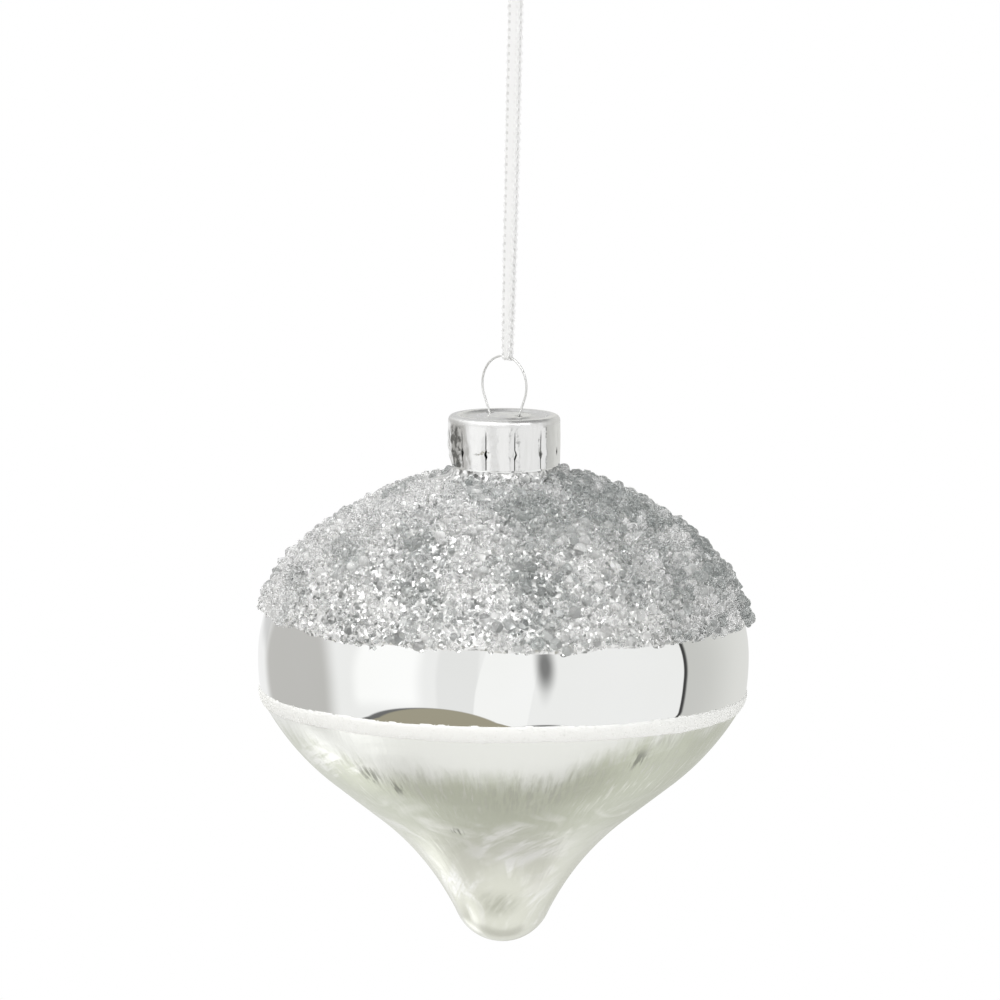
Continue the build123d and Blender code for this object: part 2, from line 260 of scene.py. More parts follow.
def glass_profile(offset, spacing):
    """Outline of the glass moved outward by offset, rim to tip, with its normals' angles."""
    belly_end = math.radians(BELLY[1])
    shoulder_end = math.radians(BELLY[1] + SHOULDER[1])
    end_radius = GLASS_RADIUS - BELLY[0] * (1 - math.cos(belly_end))
    end_radius -= SHOULDER[0] * (math.cos(belly_end) - math.cos(shoulder_end))
    fillet = (end_radius - NECK_RADIUS) / (1 - math.cos(shoulder_end))
    start = (GLASS_RADIUS + offset, EQUATOR_HEIGHT)
    upper = [
        (BELLY[0] + offset, BELLY[1]),
        (SHOULDER[0] + offset, SHOULDER[1]),
        (fillet - offset, -BELLY[1] - SHOULDER[1]),
    ]
    up, up_normals, _ = arc_run(start, 0.0, upper, spacing)
    neck, neck_normals, _ = arc_run(up[-1], 0.0, [(None, NECK_RIM - up[-1][1])], spacing)
    # Downward, the run is drawn upside down and turned over.
    lower = [
        (WAIST[0] + offset, WAIST[1]),
        (CORNER[0] + offset, CORNER[1]),
        (UNDERSIDE[0] + offset, UNDERSIDE[1]),
        (None, CONE_LENGTH),
        (FLARE[0] - offset, -FLARE[1]),
    ]
    down, down_normals, heading = arc_run((start[0], -EQUATOR_HEIGHT), 0.0, lower, spacing)
    tip_radius = down[-1][0] / math.cos(heading)
    tip, tip_normals, _ = arc_run(down[-1], heading, [(tip_radius, 90 - math.degrees(heading))], spacing / 2)
    tip[-1][0] = 0.0
    down = np.vstack([down, tip[1:]]) * (1, -1)
    down_normals = -np.concatenate([down_normals, tip_normals[1:]])
    points = np.vstack([neck[::-1], up[-2::-1], down[1:]])
    normals = np.concatenate([neck_normals[::-1], up_normals[-2::-1], down_normals[1:]])
    return points, normals


def between(points, normals, top, bottom):
    """The stretch of a profile between two heights."""
    keep = (points[:, 1] <= top) & (points[:, 1] >= bottom)
    return points[keep], normals[keep]


def smooth_noise(angle, seed, waves=(3, 5, 8, 13, 21, 34, 55)):
    """Repeatable wobble round the axis, about -1 to 1, from a few sine waves."""
    rng = random.Random(seed)
    total = np.zeros_like(angle)
    weight = 0.0
    for number in waves:
        strength = number**-0.35
        total += strength * np.sin(number * angle + rng.uniform(0, 2 * math.pi))
        weight += strength
    return total / weight * 1.8


def left_rise(angle):
    """1 at the side that the camera sees on its left, -1 on its right."""
    return np.cos(angle - math.radians(CAMERA_TURN + 180))


def lathe(name, points, normals, sides, push=None):
    """Surface of revolution; push(angle, height) moves it along its normal, in mm."""
    angle = np.linspace(0, 2 * math.pi, sides, endpoint=False)[None, :]
    radius = points[:, 0][:, None] + 0 * angle
    height = points[:, 1][:, None] + 0 * angle
    if push is not None:
        amount = push(angle + 0 * height, height)
        radius = radius + amount * np.cos(normals)[:, None]
        height = height + amount * np.sin(normals)[:, None]
        radius = np.where(points[:, 0][:, None] < 1e-9, 0.0, radius)
    grid = np.stack([radius * np.cos(angle), radius * np.sin(angle), height], axis=-1)
    return new_mesh(name, place(grid.reshape(-1, 3)), grid_faces(len(points), sides))


def path_frames(path, side_hint):
    """Side directions close to side_hint and square to a path, and the ones square to both."""
    tangent = np.gradient(path, axis=0)
    tangent /= np.linalg.norm(tangent, axis=1)[:, None]
    side = np.broadcast_to(np.asarray(side_hint, float), path.shape).copy()
    side -= (side * tangent).sum(1)[:, None] * tangent
    side /= np.linalg.norm(side, axis=1)[:, None]
    return side, np.cross(tangent, side)


def swept(path, side, up, ring):
    """Places and quads of a closed section carried along a path; ring holds (side, up) offsets."""
    grid = path[:, None, :] + ring[..., 0, None] * side[:, None, :] + ring[..., 1, None] * up[:, None, :]
    return grid.reshape(-1, 3), grid_faces(len(path), ring.shape[1])


def round_tube(path, radius, sides):
    """Places in mm and quads of a round tube with closed, tapered ends."""
    side, up = path_frames(path, (0, 1, 0))
    turn = np.linspace(0, 2 * math.pi, sides, endpoint=False)
    reach = np.full(len(path), radius, float)
    reach[0] = reach[-1] = radius * 0.02
    ring = np.stack([np.cos(turn), np.sin(turn)], axis=-1)[None] * reach[:, None, None]
    return swept(path, side, up, ring)


def run_length(path):
    """Length run along a path up to each of its points."""
    steps = np.linalg.norm(np.diff(path, axis=0), axis=1)
    return np.concatenate([[0], np.cumsum(steps)])


def joined(parts):
    """One vertex array and one face array out of several."""
    vertices, faces, start = [], [], 0
    for part_vertices, part_faces in parts:
        vertices.append(part_vertices)
        faces.append(part_faces + start)
        start += len(part_vertices)
    return np.vstack(vertices), np.vstack(faces)


# ------------------------ materials


def plug(node, inputs):
    """Sets sockets, by name or number, to values or joins them to the outputs of other nodes."""
    for key, value in inputs.items():
        socket = node.inputs[key]
        if isinstance(value, Value):
            node.id_data.links.new(value.socket, socket)
        elif socket.type == "RGBA" and len(value) == 3:
            socket.default_value = (*value, 1)
        else:
            socket.default_value = value


def add(tree, kind, inputs=None, output=0, **settings):
    """Value given by an output of a new node."""
    node = tree.nodes.new(kind)
    for key, value in settings.items():
        setattr(node, key, value)
    plug(node, inputs or {})
    return Value(node.outputs[output])


class Value:
    """What a node gives at each point. Arithmetic on it adds maths nodes."""

    def __init__(self, socket):
        self.socket = socket
        self.tree = socket.id_data

    def maths(self, operation, second=0.0, third=None):
        inputs = {0: self, 1: second}
        if third is not None:
            inputs[2] = third
        return add(self.tree, "ShaderNodeMath", inputs, operation=operation)

    def __add__(self, other):
        return self.maths("ADD", other)

    def __sub__(self, other):
        return self.maths("SUBTRACT", other)

    def __mul__(self, other):
        return self.maths("MULTIPLY", other)

    def __truediv__(self, other):
        return self.maths("DIVIDE", other)

    def vector_maths(self, operation, inputs):
        return add(self.tree, "ShaderNodeVectorMath", {0: self, **inputs}, operation=operation)

    def remap(self, low, high, to_low=0.0, to_high=1.0):
        """The value carried smoothly from one range to another, held at the ends."""
        keys = {"Value": self, "From Min": low, "From Max": high, "To Min": to_low, "To Max": to_high}
        return add(self.tree, "ShaderNodeMapRange", keys, interpolation_type="SMOOTHSTEP")

    def colour(self, first, second):
        """Colour between two others, at this share of the way."""
        return add(self.tree, "ShaderNodeMix", {0: self, 6: first, 7: second}, 2, data_type="RGBA")

    def number(self, first, second):
        """Number between two others, at this share of the way."""
        return add(self.tree, "ShaderNodeMix", {0: self, 2: first, 3: second})

    def noise(self, scale, detail, rough=0.5, distortion=0.0):
        keys = {"Vector": self, "Scale": scale, "Detail": detail}
        keys.update({"Roughness": rough, "Distortion": distortion})
        return add(self.tree, "ShaderNodeTexNoise", keys, "Fac")

    def cells(self, scale):
        """Node of scattered cells, for its Distance and Color."""
        return add(self.tree, "ShaderNodeTexVoronoi", {"Vector": self, "Scale": scale}).socket.node

    def stretched(self, scale):
        return add(self.tree, "ShaderNodeMapping", {"Vector": self, "Scale": scale})

    def bump(self, distance, strength):
        return add(self.tree, "ShaderNodeBump", {"Height": self, "Distance": distance, "Strength": strength})

    def parts(self, kind="ShaderNodeSeparateXYZ"):
        """The three numbers of a vector or of a colour."""
        node = add(self.tree, kind, {0: self}).socket.node
        return [Value(output) for output in node.outputs]


def vector(x, y, z=0.0):
    return add(x.tree, "ShaderNodeCombineXYZ", {0: x, 1: y, 2: z})


def oval_mask(across, up, soft):
    """1 inside a unit circle, fading to 0 at its edge over soft."""
    return (across * across + up * up).maths("SQRT").remap(1.0, 1.0 - soft)


def mix_shaders(share, first, second):
    return add(first.tree, "ShaderNodeMixShader", {0: share, 1: first, 2: second})


def light_path(tree):
    return tree.nodes.new("ShaderNodeLightPath").outputs


def soft_ray(tree):
    """1 for rays that carry shadow or diffuse light."""
    path = light_path(tree)
    return Value(path["Is Shadow Ray"]).maths("MAXIMUM", Value(path["Is Diffuse Ray"]))


class Material:
    """Node material with a Principled shader; places is where each point is on the object."""

    def __init__(self, name, colour, metallic, roughness):
        self.data = bpy.data.materials.new(name)
        self.data.use_nodes = True
        self.tree = self.data.node_tree
        self.shader = self.tree.nodes["Principled BSDF"]
        self.set({"Base Color": colour, "Metallic": metallic, "Roughness": roughness})
        self.places = add(self.tree, "ShaderNodeTexCoord", output="Object")

    def set(self, inputs):
        plug(self.shader, inputs)

    def stored(self, name):
        """Number that the mesh holds on each vertex."""
        return add(self.tree, "ShaderNodeAttribute", output="Fac", attribute_name=name)

    def around_and_down(self):
        """Turn about the axis in radians, and height in mm with 0 on the cap's top."""
        x, y, z = self.places.parts()
        return y.maths("ARCTAN2", x), (z - CAP_TOP) * (1 / MM)

    def surface(self):
        return Value(self.shader.outputs[0])

    def show(self, shader):
        plug(self.tree.nodes["Material Output"], {"Surface": shader})


def mirror_glass_material():
    """Silvered glass seen from outside: a bright mirror under clear glass, very slightly wavy."""
    material = Material("mirror_glass", (0.93, 0.935, 0.92), 1.0, 0.012)
    places = material.places
    material.set({
        "Base Color": places.noise(60, 2).colour((0.95, 0.955, 0.95), (0.9, 0.91, 0.885)),
        "Roughness": places.noise(900, 2).remap(0.62, 0.75, 0.012, 0.05),
        "Coat Weight": 0.6,
        "Coat Roughness": 0.01,
        "Normal": places.noise(45, 1).bump(0.0004, 0.5),
    })
    return material.data


def clear_neck_material():
    """Unsilvered rim of the neck."""
    material = Material("neck_glass", (0.95, 0.97, 0.96), 0.0, 0.02)
    smears = material.places.noise(500, 3).remap(0.4, 0.7, 0.01, 0.12)
    material.set({"Transmission Weight": 1.0, "IOR": 1.5, "Roughness": smears})
    return material.data


def silver_back_material():
    """Back of the silvering, seen down the open neck."""
    material = Material("silver_back", (0.7, 0.69, 0.66), 1.0, 0.25)
    cloud = material.places.noise(250, 5)
    tint = cloud.colour((0.5, 0.49, 0.46), (0.86, 0.86, 0.83))
    material.set({"Base Color": tint, "Roughness": cloud.remap(0.3, 0.7, 0.15, 0.4)})
    return material.data


def daub(turn, height, centre, reach, soft):
    """1 inside a soft oval on the drop; centre and reach are degrees to the camera's right and mm."""
    facing = math.radians(CAMERA_TURN - 90 + centre[0])
    off = (turn - facing).maths("WRAP", math.pi, -math.pi)
    return oval_mask(off / math.radians(reach[0]), (height - centre[1]) / reach[1], soft)


def frost_material():
    """Sage pearl lacquer brushed over the silvered glass: thin streaks show the mirror through it."""
    material = Material("sage_frost", (0.8, 0.82, 0.72), 0.85, 0.2)
    turn, height = material.around_and_down()
    strokes = vector(turn * 15.0, height * 0.13).noise(1.0, 4, 0.6)
    fine = vector(turn * 48.0, height * 0.3).noise(1.0, 3, 0.6)
    drift = vector(turn * 1.6, height * 0.06).noise(1.0, 2)
    swirls = vector(turn * 2.2, height * 0.15).noise(1.0, 2.5, 0.5, 1.1)
    side = (turn - CAMERA_FACING).maths("SINE")
    wavy = height + (swirls - 0.5) * 16.0

    # Where the paler zone under the glitter line gives way to sage, and the darker streaks just below
    ragged = height + (strokes - 0.5) * 7.0 + (drift - 0.5) * 7.0
    ragged = ragged - side.remap(0.2, 0.65, 0.0, 7.0) - side.remap(-0.45, -0.8, 0.0, 4.0)
    swirled, streaked = swirls.remap(0.48, 0.66, 0.0, 0.8), fine.remap(0.5, 0.72, 0.0, 0.7)
    thin = height.remap(-66.0, -58.0).number(swirled, streaked)
    lacquer = wavy.remap(-62.0, -74.0).colour((0.62, 0.645, 0.53), (0.8, 0.81, 0.72))
    lacquer = thin.colour(lacquer, (0.9, 0.905, 0.84))
    colour = ragged.remap(-58.6, -52.6).colour(lacquer, (0.88, 0.89, 0.85))
    band = ragged.remap(-64.5, -58.5) * ragged.remap(-52.5, -57.0)
    touch = band * fine.remap(0.42, 0.66) * drift.remap(0.35, 0.6, 0.2, 0.6)
    colour = touch.colour(colour, (0.44, 0.45, 0.37))

    # Paler slanted streaks, then painted highlights as paler dabs down the drop and a darker patch in its
    # tip, feathered by the brush
    slanted = vector(turn * 5.5 - height * 0.5, turn + height * 0.1, drift).noise(1.0, 4, 0.6)
    feather = slanted.remap(0.4, 0.58, 0.1, 1.0)
    colour = slanted.remap(0.52, 0.7, 0.0, 0.2).colour(colour, (0.9, 0.91, 0.86))
    # Painted highlights: each is (centre, reach, strength), with centre in degrees to the camera's right and
    # mm
    painted_highlight_dabs = [
        ((8, -69.5), (42, 5.0), 1.0),
        ((-42, -77.5), (38, 3.8), 1.0),
        ((38, -79.0), (28, 4.0), 0.8),
        ((-54, -53.5), (24, 3.4), 0.8),
    ]
    for centre, reach, strength in painted_highlight_dabs:
        mask = daub(turn, wavy, centre, reach, 0.75) * strength
        colour = (mask * feather).colour(colour, (0.97, 0.975, 0.94))
    mask = daub(turn, height, (-6, -80.0), (32, 3.4), 0.85) * slanted.remap(0.3, 0.6, 0.2, 0.7)
    colour = mask.colour(colour, (0.42, 0.43, 0.35))

    # Dark scuffs and a few specks, where the lacquer is worn through
    scuffs = [
        ((-40, -55.8), (5, 2.4)),
        ((-33, -57.8), (3.5, 1.6)),
        ((37, -52.5), (3.5, 2.4)),
        ((-20, -66.0), (5, 1.0)),
    ]
    for centre, reach in scuffs:
        mask = daub(turn, height, centre, reach, 0.8) * fine.remap(0.46, 0.56, 0.0, 0.75)
        colour = mask.colour(colour, (0.2, 0.21, 0.17))
    cells = material.places.cells(90.0)
    rare = Value(cells.outputs["Color"]).parts("ShaderNodeSeparateColor")[0].remap(0.88, 0.92)
    specks = Value(cells.outputs["Distance"]).remap(0.075, 0.035) * rare
    relief = (strokes + swirls * 0.8) * height.remap(-85.5, -77.0)
    material.set({
        "Base Color": specks.colour(colour, (0.12, 0.13, 0.1)),
        "Roughness": thin.number(0.27, 0.18),
        "Normal": relief.bump(0.00009, 1.0),
    })
    return material.data


def glitter_glue_material():
    """Silver glitter glue between the beads: tiny flakes that each catch the light their own way."""
    material = Material("glitter_glue", (0.7, 0.71, 0.7), 0.85, 0.3)
    flakes = Value(material.places.cells(1900.0).outputs["Color"])
    shine = flakes.parts("ShaderNodeSeparateColor")[0].remap(0.1, 0.8)
    cloud = material.places.noise(120, 2).remap(0.35, 0.65, 0.0, 0.5)
    tilt = flakes.vector_maths("SUBTRACT", {1: (0.5, 0.5, 0.5)}).vector_maths("SCALE", {"Scale": 0.9})
    normal = add(material.tree, "ShaderNodeNewGeometry", output="Normal")
    material.set({
        "Base Color": cloud.colour(shine.colour((0.4, 0.41, 0.405), (0.98, 0.98, 0.97)), (0.93, 0.93, 0.91)),
        "Normal": normal.vector_maths("ADD", {1: tilt}).vector_maths("NORMALIZE", {}),
    })
    return material.data


def bead_glass_material():
    """Milky clear glass of beads and chips, each a touch lighter or greyer than the next; the stored tone
    also holds painted light, paler on the camera's left and greyer on its right.
    """
    material = Material("bead_glass", (1, 1, 1), 0.0, 0.02)
    tone = material.stored("tone")
    material.set({
        "Base Color": tone.colour((0.6, 0.62, 0.615), (1, 1, 1)),
        "Roughness": tone.remap(0.0, 1.0, 0.03, 0.0),
        "Transmission Weight": 0.86,
        "IOR": 1.5,
    })
    clear = add(material.tree, "ShaderNodeBsdfTransparent", {"Color": (0.95, 0.95, 0.95)})
    material.show(mix_shaders(soft_ray(material.tree), material.surface(), clear))
    return material.data


def white_glitter_material():
    """White snow glitter: matt grains with the odd bright face."""
    material = Material("white_glitter", (0.9, 0.9, 0.88), 0.0, 0.5)
    tone = material.stored("tone")
    colour = tone.colour((0.76, 0.765, 0.74), (0.9, 0.9, 0.88))
    material.set({"Base Color": colour, "Roughness": tone.remap(0.2, 1.0, 0.6, 0.3)})
    return material.data


def cap_material():
    """Bright pressed sheet with rolling marks and small dents, with a painted dark reflection where it is
    crinkled at the far left.
    """
    material = Material("cap_metal", (0.9, 0.9, 0.89), 1.0, 0.12)
    places = material.places
    marks = places.stretched((1, 1, 0.15)).noise(1400, 4)
    tint = marks.colour((0.8, 0.8, 0.785), (0.95, 0.95, 0.945))
    turn, height = material.around_and_down()
    # Painted dark reflection: the crinkled skirt 62 degrees to the camera's left gets a nearly black colour
    away = (turn - math.radians(CAMERA_TURN - 90 - 62)).maths("ABSOLUTE")
    away = away + (places.noise(700, 4) - 0.5) * 0.5
    painted_dark_reflection = away.remap(0.2, 0.1) * height.remap(-1.0, -1.8) * places.noise(1100, 3).remap(0.38, 0.5, 0.25, 0.9)
    rim = height.remap(-1.3, -0.8) * height.remap(-0.03, -0.12)
    material.set({
        "Base Color": painted_dark_reflection.colour(tint, (0.15, 0.15, 0.14)),
        "Roughness": rim.number(marks.remap(0.3, 0.7, 0.07, 0.2), 0.38),
        "Normal": places.noise(420, 3).bump(0.00025, 0.6),
    })
    return material.data


def wire_material():
    """Drawn steel wire, bright with faint scuffs."""
    material = Material("hanger_wire", (0.75, 0.75, 0.74), 1.0, 0.2)
    scuff = material.places.noise(600, 2)
    tint = scuff.colour((0.74, 0.74, 0.73), (0.86, 0.86, 0.85))
    material.set({"Base Color": tint, "Roughness": scuff.remap(0.3, 0.7, 0.42, 0.55)})
    return material.data


def let_light_through(material):
    """Thin open weave: some light comes through the threads, and some straight between them."""
    tree = material.tree
    behind = add(tree, "ShaderNodeBsdfTranslucent", {"Color": (1, 1, 1)})
    cloth = mix_shaders(0.4, material.surface(), behind)
    material.show(mix_shaders(soft_ray(tree) * 0.6, cloth, add(tree, "ShaderNodeBsdfTransparent")))


def ribbon_material():
    """White satin weave; the UV map holds millimetres across and along the ribbon."""
    material = Material("ribbon_satin", (0.92, 0.92, 0.92), 0.0, 0.45)
    across, along, _ = add(material.tree, "ShaderNodeUVMap", uv_map="weave").parts()
    warp = (across * (2 * math.pi / 0.13)).maths("SINE")
    weft = (along * (2 * math.pi / 0.21)).maths("SINE")
    weave = warp + weft * 0.6
    # Painted shade: grey dots at the picot pitch along each edge stand in for the shade in the holes between
    # the picot loops
    beat = (along * (math.pi / PICOT_PITCH)).maths("SINE").maths("ABSOLUTE")
    from_row = (across.maths("ABSOLUTE") - PICOT_ROW).maths("ABSOLUTE")
    painted_hole_shade = beat.remap(0.75, 0.35) * from_row.remap(0.36, 0.14)
    painted_hole_shade = painted_hole_shade * material.stored("hole_shade_strength").remap(0.0, 1.0, 0.2, 0.85)
    cloth = weave.remap(-1.6, 1.6).colour((0.97, 0.97, 0.97), (1, 1, 1))
    material.set({
        "Base Color": painted_hole_shade.colour(cloth, (0.6, 0.6, 0.59)),
        "Sheen Weight": 0.2,
        "Normal": weave.bump(0.000012, 0.5),
    })
    let_light_through(material)
    return material.data


def thread_material():
    """Twisted white edging thread."""
    material = Material("ribbon_thread", (0.93, 0.93, 0.93), 0.0, 0.55)
    fibre = material.places.stretched((1, 1, 0.4)).noise(5000, 2)
    material.set({"Base Color": fibre.colour((0.95, 0.95, 0.95), (1, 1, 1)), "Sheen Weight": 0.2})
    let_light_through(material)
    return material.data


# ------------------------ glass body


def build_glass_body():
    """Blown glass: mirrored outside, clear rounded rim, dull silvering inside."""
    outer, outer_normals = glass_profile(0.0, 0.4)
    inner, inner_normals = glass_profile(-GLASS_WALL - 0.1, 0.8)
    rim_angle = np.radians(np.arange(20, 180, 20))
    half_wall = GLASS_WALL / 2
    rim_radius = NECK_RADIUS - half_wall + half_wall * np.cos(rim_angle)
    rim = np.stack([rim_radius, NECK_RIM + half_wall * np.sin(rim_angle)], axis=1)
    points = np.vstack([outer[::-1], rim, inner])
    normals = np.concatenate([outer_normals[::-1], rim_angle, inner_normals])
    body = lathe("glass_body", points, normals, BODY_SIDES)
    materials = [mirror_glass_material(), clear_neck_material(), silver_back_material()]
    dress(body, materials, "silvering", "glass_shell", "silver_lining")
    heights = np.repeat(points[:-1, 1], BODY_SIDES)
    rows = np.repeat(np.arange(len(points) - 1), BODY_SIDES)
    index = np.where(rows < len(outer), 0, 2)
    index = np.where(heights > SILVER_EDGE, 1, index)
    body.data.polygons.foreach_set("material_index", index.astype(np.int32))
    merge_close(body)
    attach(body, "ornament")


def build_frost():
    """Lacquer over the drop, with slight ridges left by the brush."""
    points, normals = glass_profile(0.1, 0.4)
    points, normals = between(points, normals, GLITTER_BOTTOM + 1.3, -1000)

    def ridges(angle, height):
        fade = np.clip((height + 82.0) / 14.0, 0, 1)
        swirl = np.sin(5 * angle + 0.3 * height) + 0.6 * np.sin(9 * angle - 0.2 * height + 1.0)
        return 0.02 * swirl * fade

    frost = lathe("frost_lacquer", points, normals, BODY_SIDES, ridges)
    merge_close(frost)
    dress(frost, [frost_material()], "frost_lacquer", "frost_coat")
    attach(frost, "ornament")


# ------------------------ beads and glitter


def random_vector(rng):
    """Vector in a random direction."""
    return Vector((rng.gauss(0, 1), rng.gauss(0, 1), rng.gauss(0, 1)))


def mesh_arrays(bm):
    """Places and triangles of a bmesh, which is then freed."""
    bm.verts.index_update()
    vertices = np.array([v.co[:] for v in bm.verts])
    faces = np.array([[v.index for v in f.verts] for f in bm.faces])
    bm.free()
    return vertices, faces


def convex_chip(rng, points):
    """Small convex lump with flat faces, about 1 across."""
    bm = bmesh.new()
    for _ in range(points):
        direction = random_vector(rng).normalized()
        bm.verts.new(direction * rng.uniform(0.36, 0.55))
    hull = bmesh.ops.convex_hull(bm, input=bm.verts)
    loose = hull["geom_interior"] + hull["geom_unused"]
    spare = {item for item in loose if isinstance(item, bmesh.types.BMVert)}
    bmesh.ops.delete(bm, geom=list(spare), context="VERTS")
    bmesh.ops.triangulate(bm, faces=bm.faces)
    bmesh.ops.recalc_face_normals(bm, faces=bm.faces)
    return mesh_arrays(bm)


def ball():
    """Unit sphere as triangles."""
    bm = bmesh.new()
    bmesh.ops.create_icosphere(bm, subdivisions=2, radius=1.0)
    return mesh_arrays(bm)


def rocaille(sides=14, section=8):
    """Drilled seed bead of unit radius, as triangles."""
    turn = np.linspace(0, 2 * math.pi, sides, endpoint=False)[:, None]
    around = np.linspace(0, 2 * math.pi, section, endpoint=False)[None, :]
    radius = 0.64 + 0.36 * np.cos(around)
    height = 0.52 * np.sin(around) + 0 * turn
    grid = np.stack([radius * np.cos(turn), radius * np.sin(turn), height], axis=-1).reshape(-1, 3)
    quads = grid_faces(sides + 1, section) % (sides * section)
    return grid, np.vstack([quads[:, [0, 1, 2]], quads[:, [0, 2, 3]]])


def random_turn(rng):
    """Rotation matrix spread evenly over all orientations."""
    quaternion = np.array([rng.gauss(0, 1) for _ in range(4)])
    w, x, y, z = quaternion / np.linalg.norm(quaternion)
    return np.array([
        [1 - 2 * (y * y + z * z), 2 * (x * y - z * w), 2 * (x * z + y * w)],
        [2 * (x * y + z * w), 1 - 2 * (x * x + z * z), 2 * (y * z - x * w)],
        [2 * (x * z - y * w), 2 * (y * z + x * w), 1 - 2 * (x * x + y * y)],
    ])


def leaning_turn(rng, normal, most):
    """Rotation that takes +Z to about a direction, most degrees setting the spread, spun at random."""
    tilt = random_vector(rng) * math.tan(math.radians(most)) * 0.5
    turned = (Vector(normal) + tilt).normalized().to_track_quat("Z", "Y").to_matrix()
    spin = rng.uniform(0, 2 * math.pi)
    about = np.array([[math.cos(spin), -math.sin(spin), 0], [math.sin(spin), math.cos(spin), 0], [0, 0, 1]])
    return np.array(turned) @ about


def uneven(rng, size, least, most):
    """Scaling matrix that stretches each axis a little differently."""
    return np.diag([size * rng.uniform(least, most) for _ in range(3)])


def scatter_mesh(name, shapes, items, smooth):
    """One mesh of many copies; items hold (shape number, place in mm, 3x3 turn and scale, tone)."""
    parts, tones = [], []
    for shape, centre, matrix, tone in items:
        vertices, faces = shapes[shape]
        parts.append((vertices @ np.asarray(matrix).T + centre, faces))
        tones.append(np.full(len(vertices), tone))
    vertices, faces = joined(parts)
    obj = new_mesh(name, place(vertices), faces, smooth)
    set_values(obj, "tone", np.concatenate(tones))
    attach(obj, "ornament")
    return obj


class Spots:
    """Keeps scattered items from crowding each other."""

    def __init__(self, cell):
        self.cell = cell
        self.cells = {}

    def key(self, spot):
        return tuple(int(c // self.cell) for c in spot)

    def free(self, spot, reach, overlap):
        x, y, z = self.key(spot)
        for dx, dy, dz in itertools.product((-1, 0, 1), repeat=3):
            for other, other_reach in self.cells.get((x + dx, y + dy, z + dz), ()):
                if math.dist(other, spot) < (reach + other_reach) * overlap:
                    return False
        return True

    def add(self, spot, reach):
        self.cells.setdefault(self.key(spot), []).append((spot, reach))


def bead_edge(angle):
    """Height of the ragged lower edge of the beading at angles about the axis."""
    return BEAD_EDGE + BEAD_EDGE_TILT * left_rise(angle) + 0.45 * smooth_noise(angle, 7)


def bead_start(angle):
    """Radius where the beading begins: by the cap, but further out on the camera's left."""
    return NECK_RADIUS + 0.6 + 5.4 * np.clip(left_rise(angle), 0, 1) ** 3


def share_of(value):
    """A value held between 0 and 1."""
    return min(1.0, max(0.0, value))


def shoulder_sampler():
    """Function that draws (place, normal) evenly over the beaded shoulder, at a height over the glass."""
    points, normals = glass_profile(0.0, 0.2)
    points, normals = between(points, normals, BEAD_TOP, BEAD_EDGE - 1.2)
    shares = np.cumsum(points[:, 0])
    shares = shares / shares[-1]
    turns = np.linspace(-math.pi, math.pi, 1441)
    edges, starts = bead_edge(turns), bead_start(turns)

    def draw(rng, rise):
        row = int(np.searchsorted(shares, rng.random()))
        step = rng.randrange(len(turns) - 1)
        turn = turns[step] + rng.random() * (turns[1] - turns[0])
        if points[row, 1] < edges[step] or points[row, 0] < starts[step]:
            return None
        angle = normals[row]
        outward = (math.cos(angle) * math.cos(turn), math.cos(angle) * math.sin(turn), math.sin(angle))
        radius = points[row, 0] + rise * math.cos(angle)
        centre = (radius * math.cos(turn), radius * math.sin(turn), points[row, 1] + rise * math.sin(angle))
        return centre, outward

    return draw


def most_size_at(centre):
    """Reach of the largest piece at a place: the heap is finer high on the camera's left."""
    high = share_of((centre[2] + 24.0) / 9.0)
    left = float(np.clip(left_rise(math.atan2(centre[1], centre[0])), 0, 1))
    return 1.1 - 0.36 * high * left


def bead_tone_and_painted_light(rng, centre):
    """Lightness of one bead: patches of lighter and greyer glass, paler low down, and painted light that
    makes it paler on the camera's left and greyer on its right.
    """
    x, y, z = centre
    patch = math.sin(0.43 * x + 0.3 * z + 1.0) + math.sin(0.51 * y - 0.37 * z) + math.sin(0.9 * z + 0.25 * x)
    left = float(left_rise(math.atan2(y, x)))
    # Painted light and shade: beads on the camera's left are made paler and those on its right greyer
    shade = 0.4 * left + 0.26 * share_of((-24.0 - z) / 8.0)
    return share_of(0.64 + shade + 0.25 * patch + (0.5 - 0.2 * left) * rng.uniform(-1, 1))


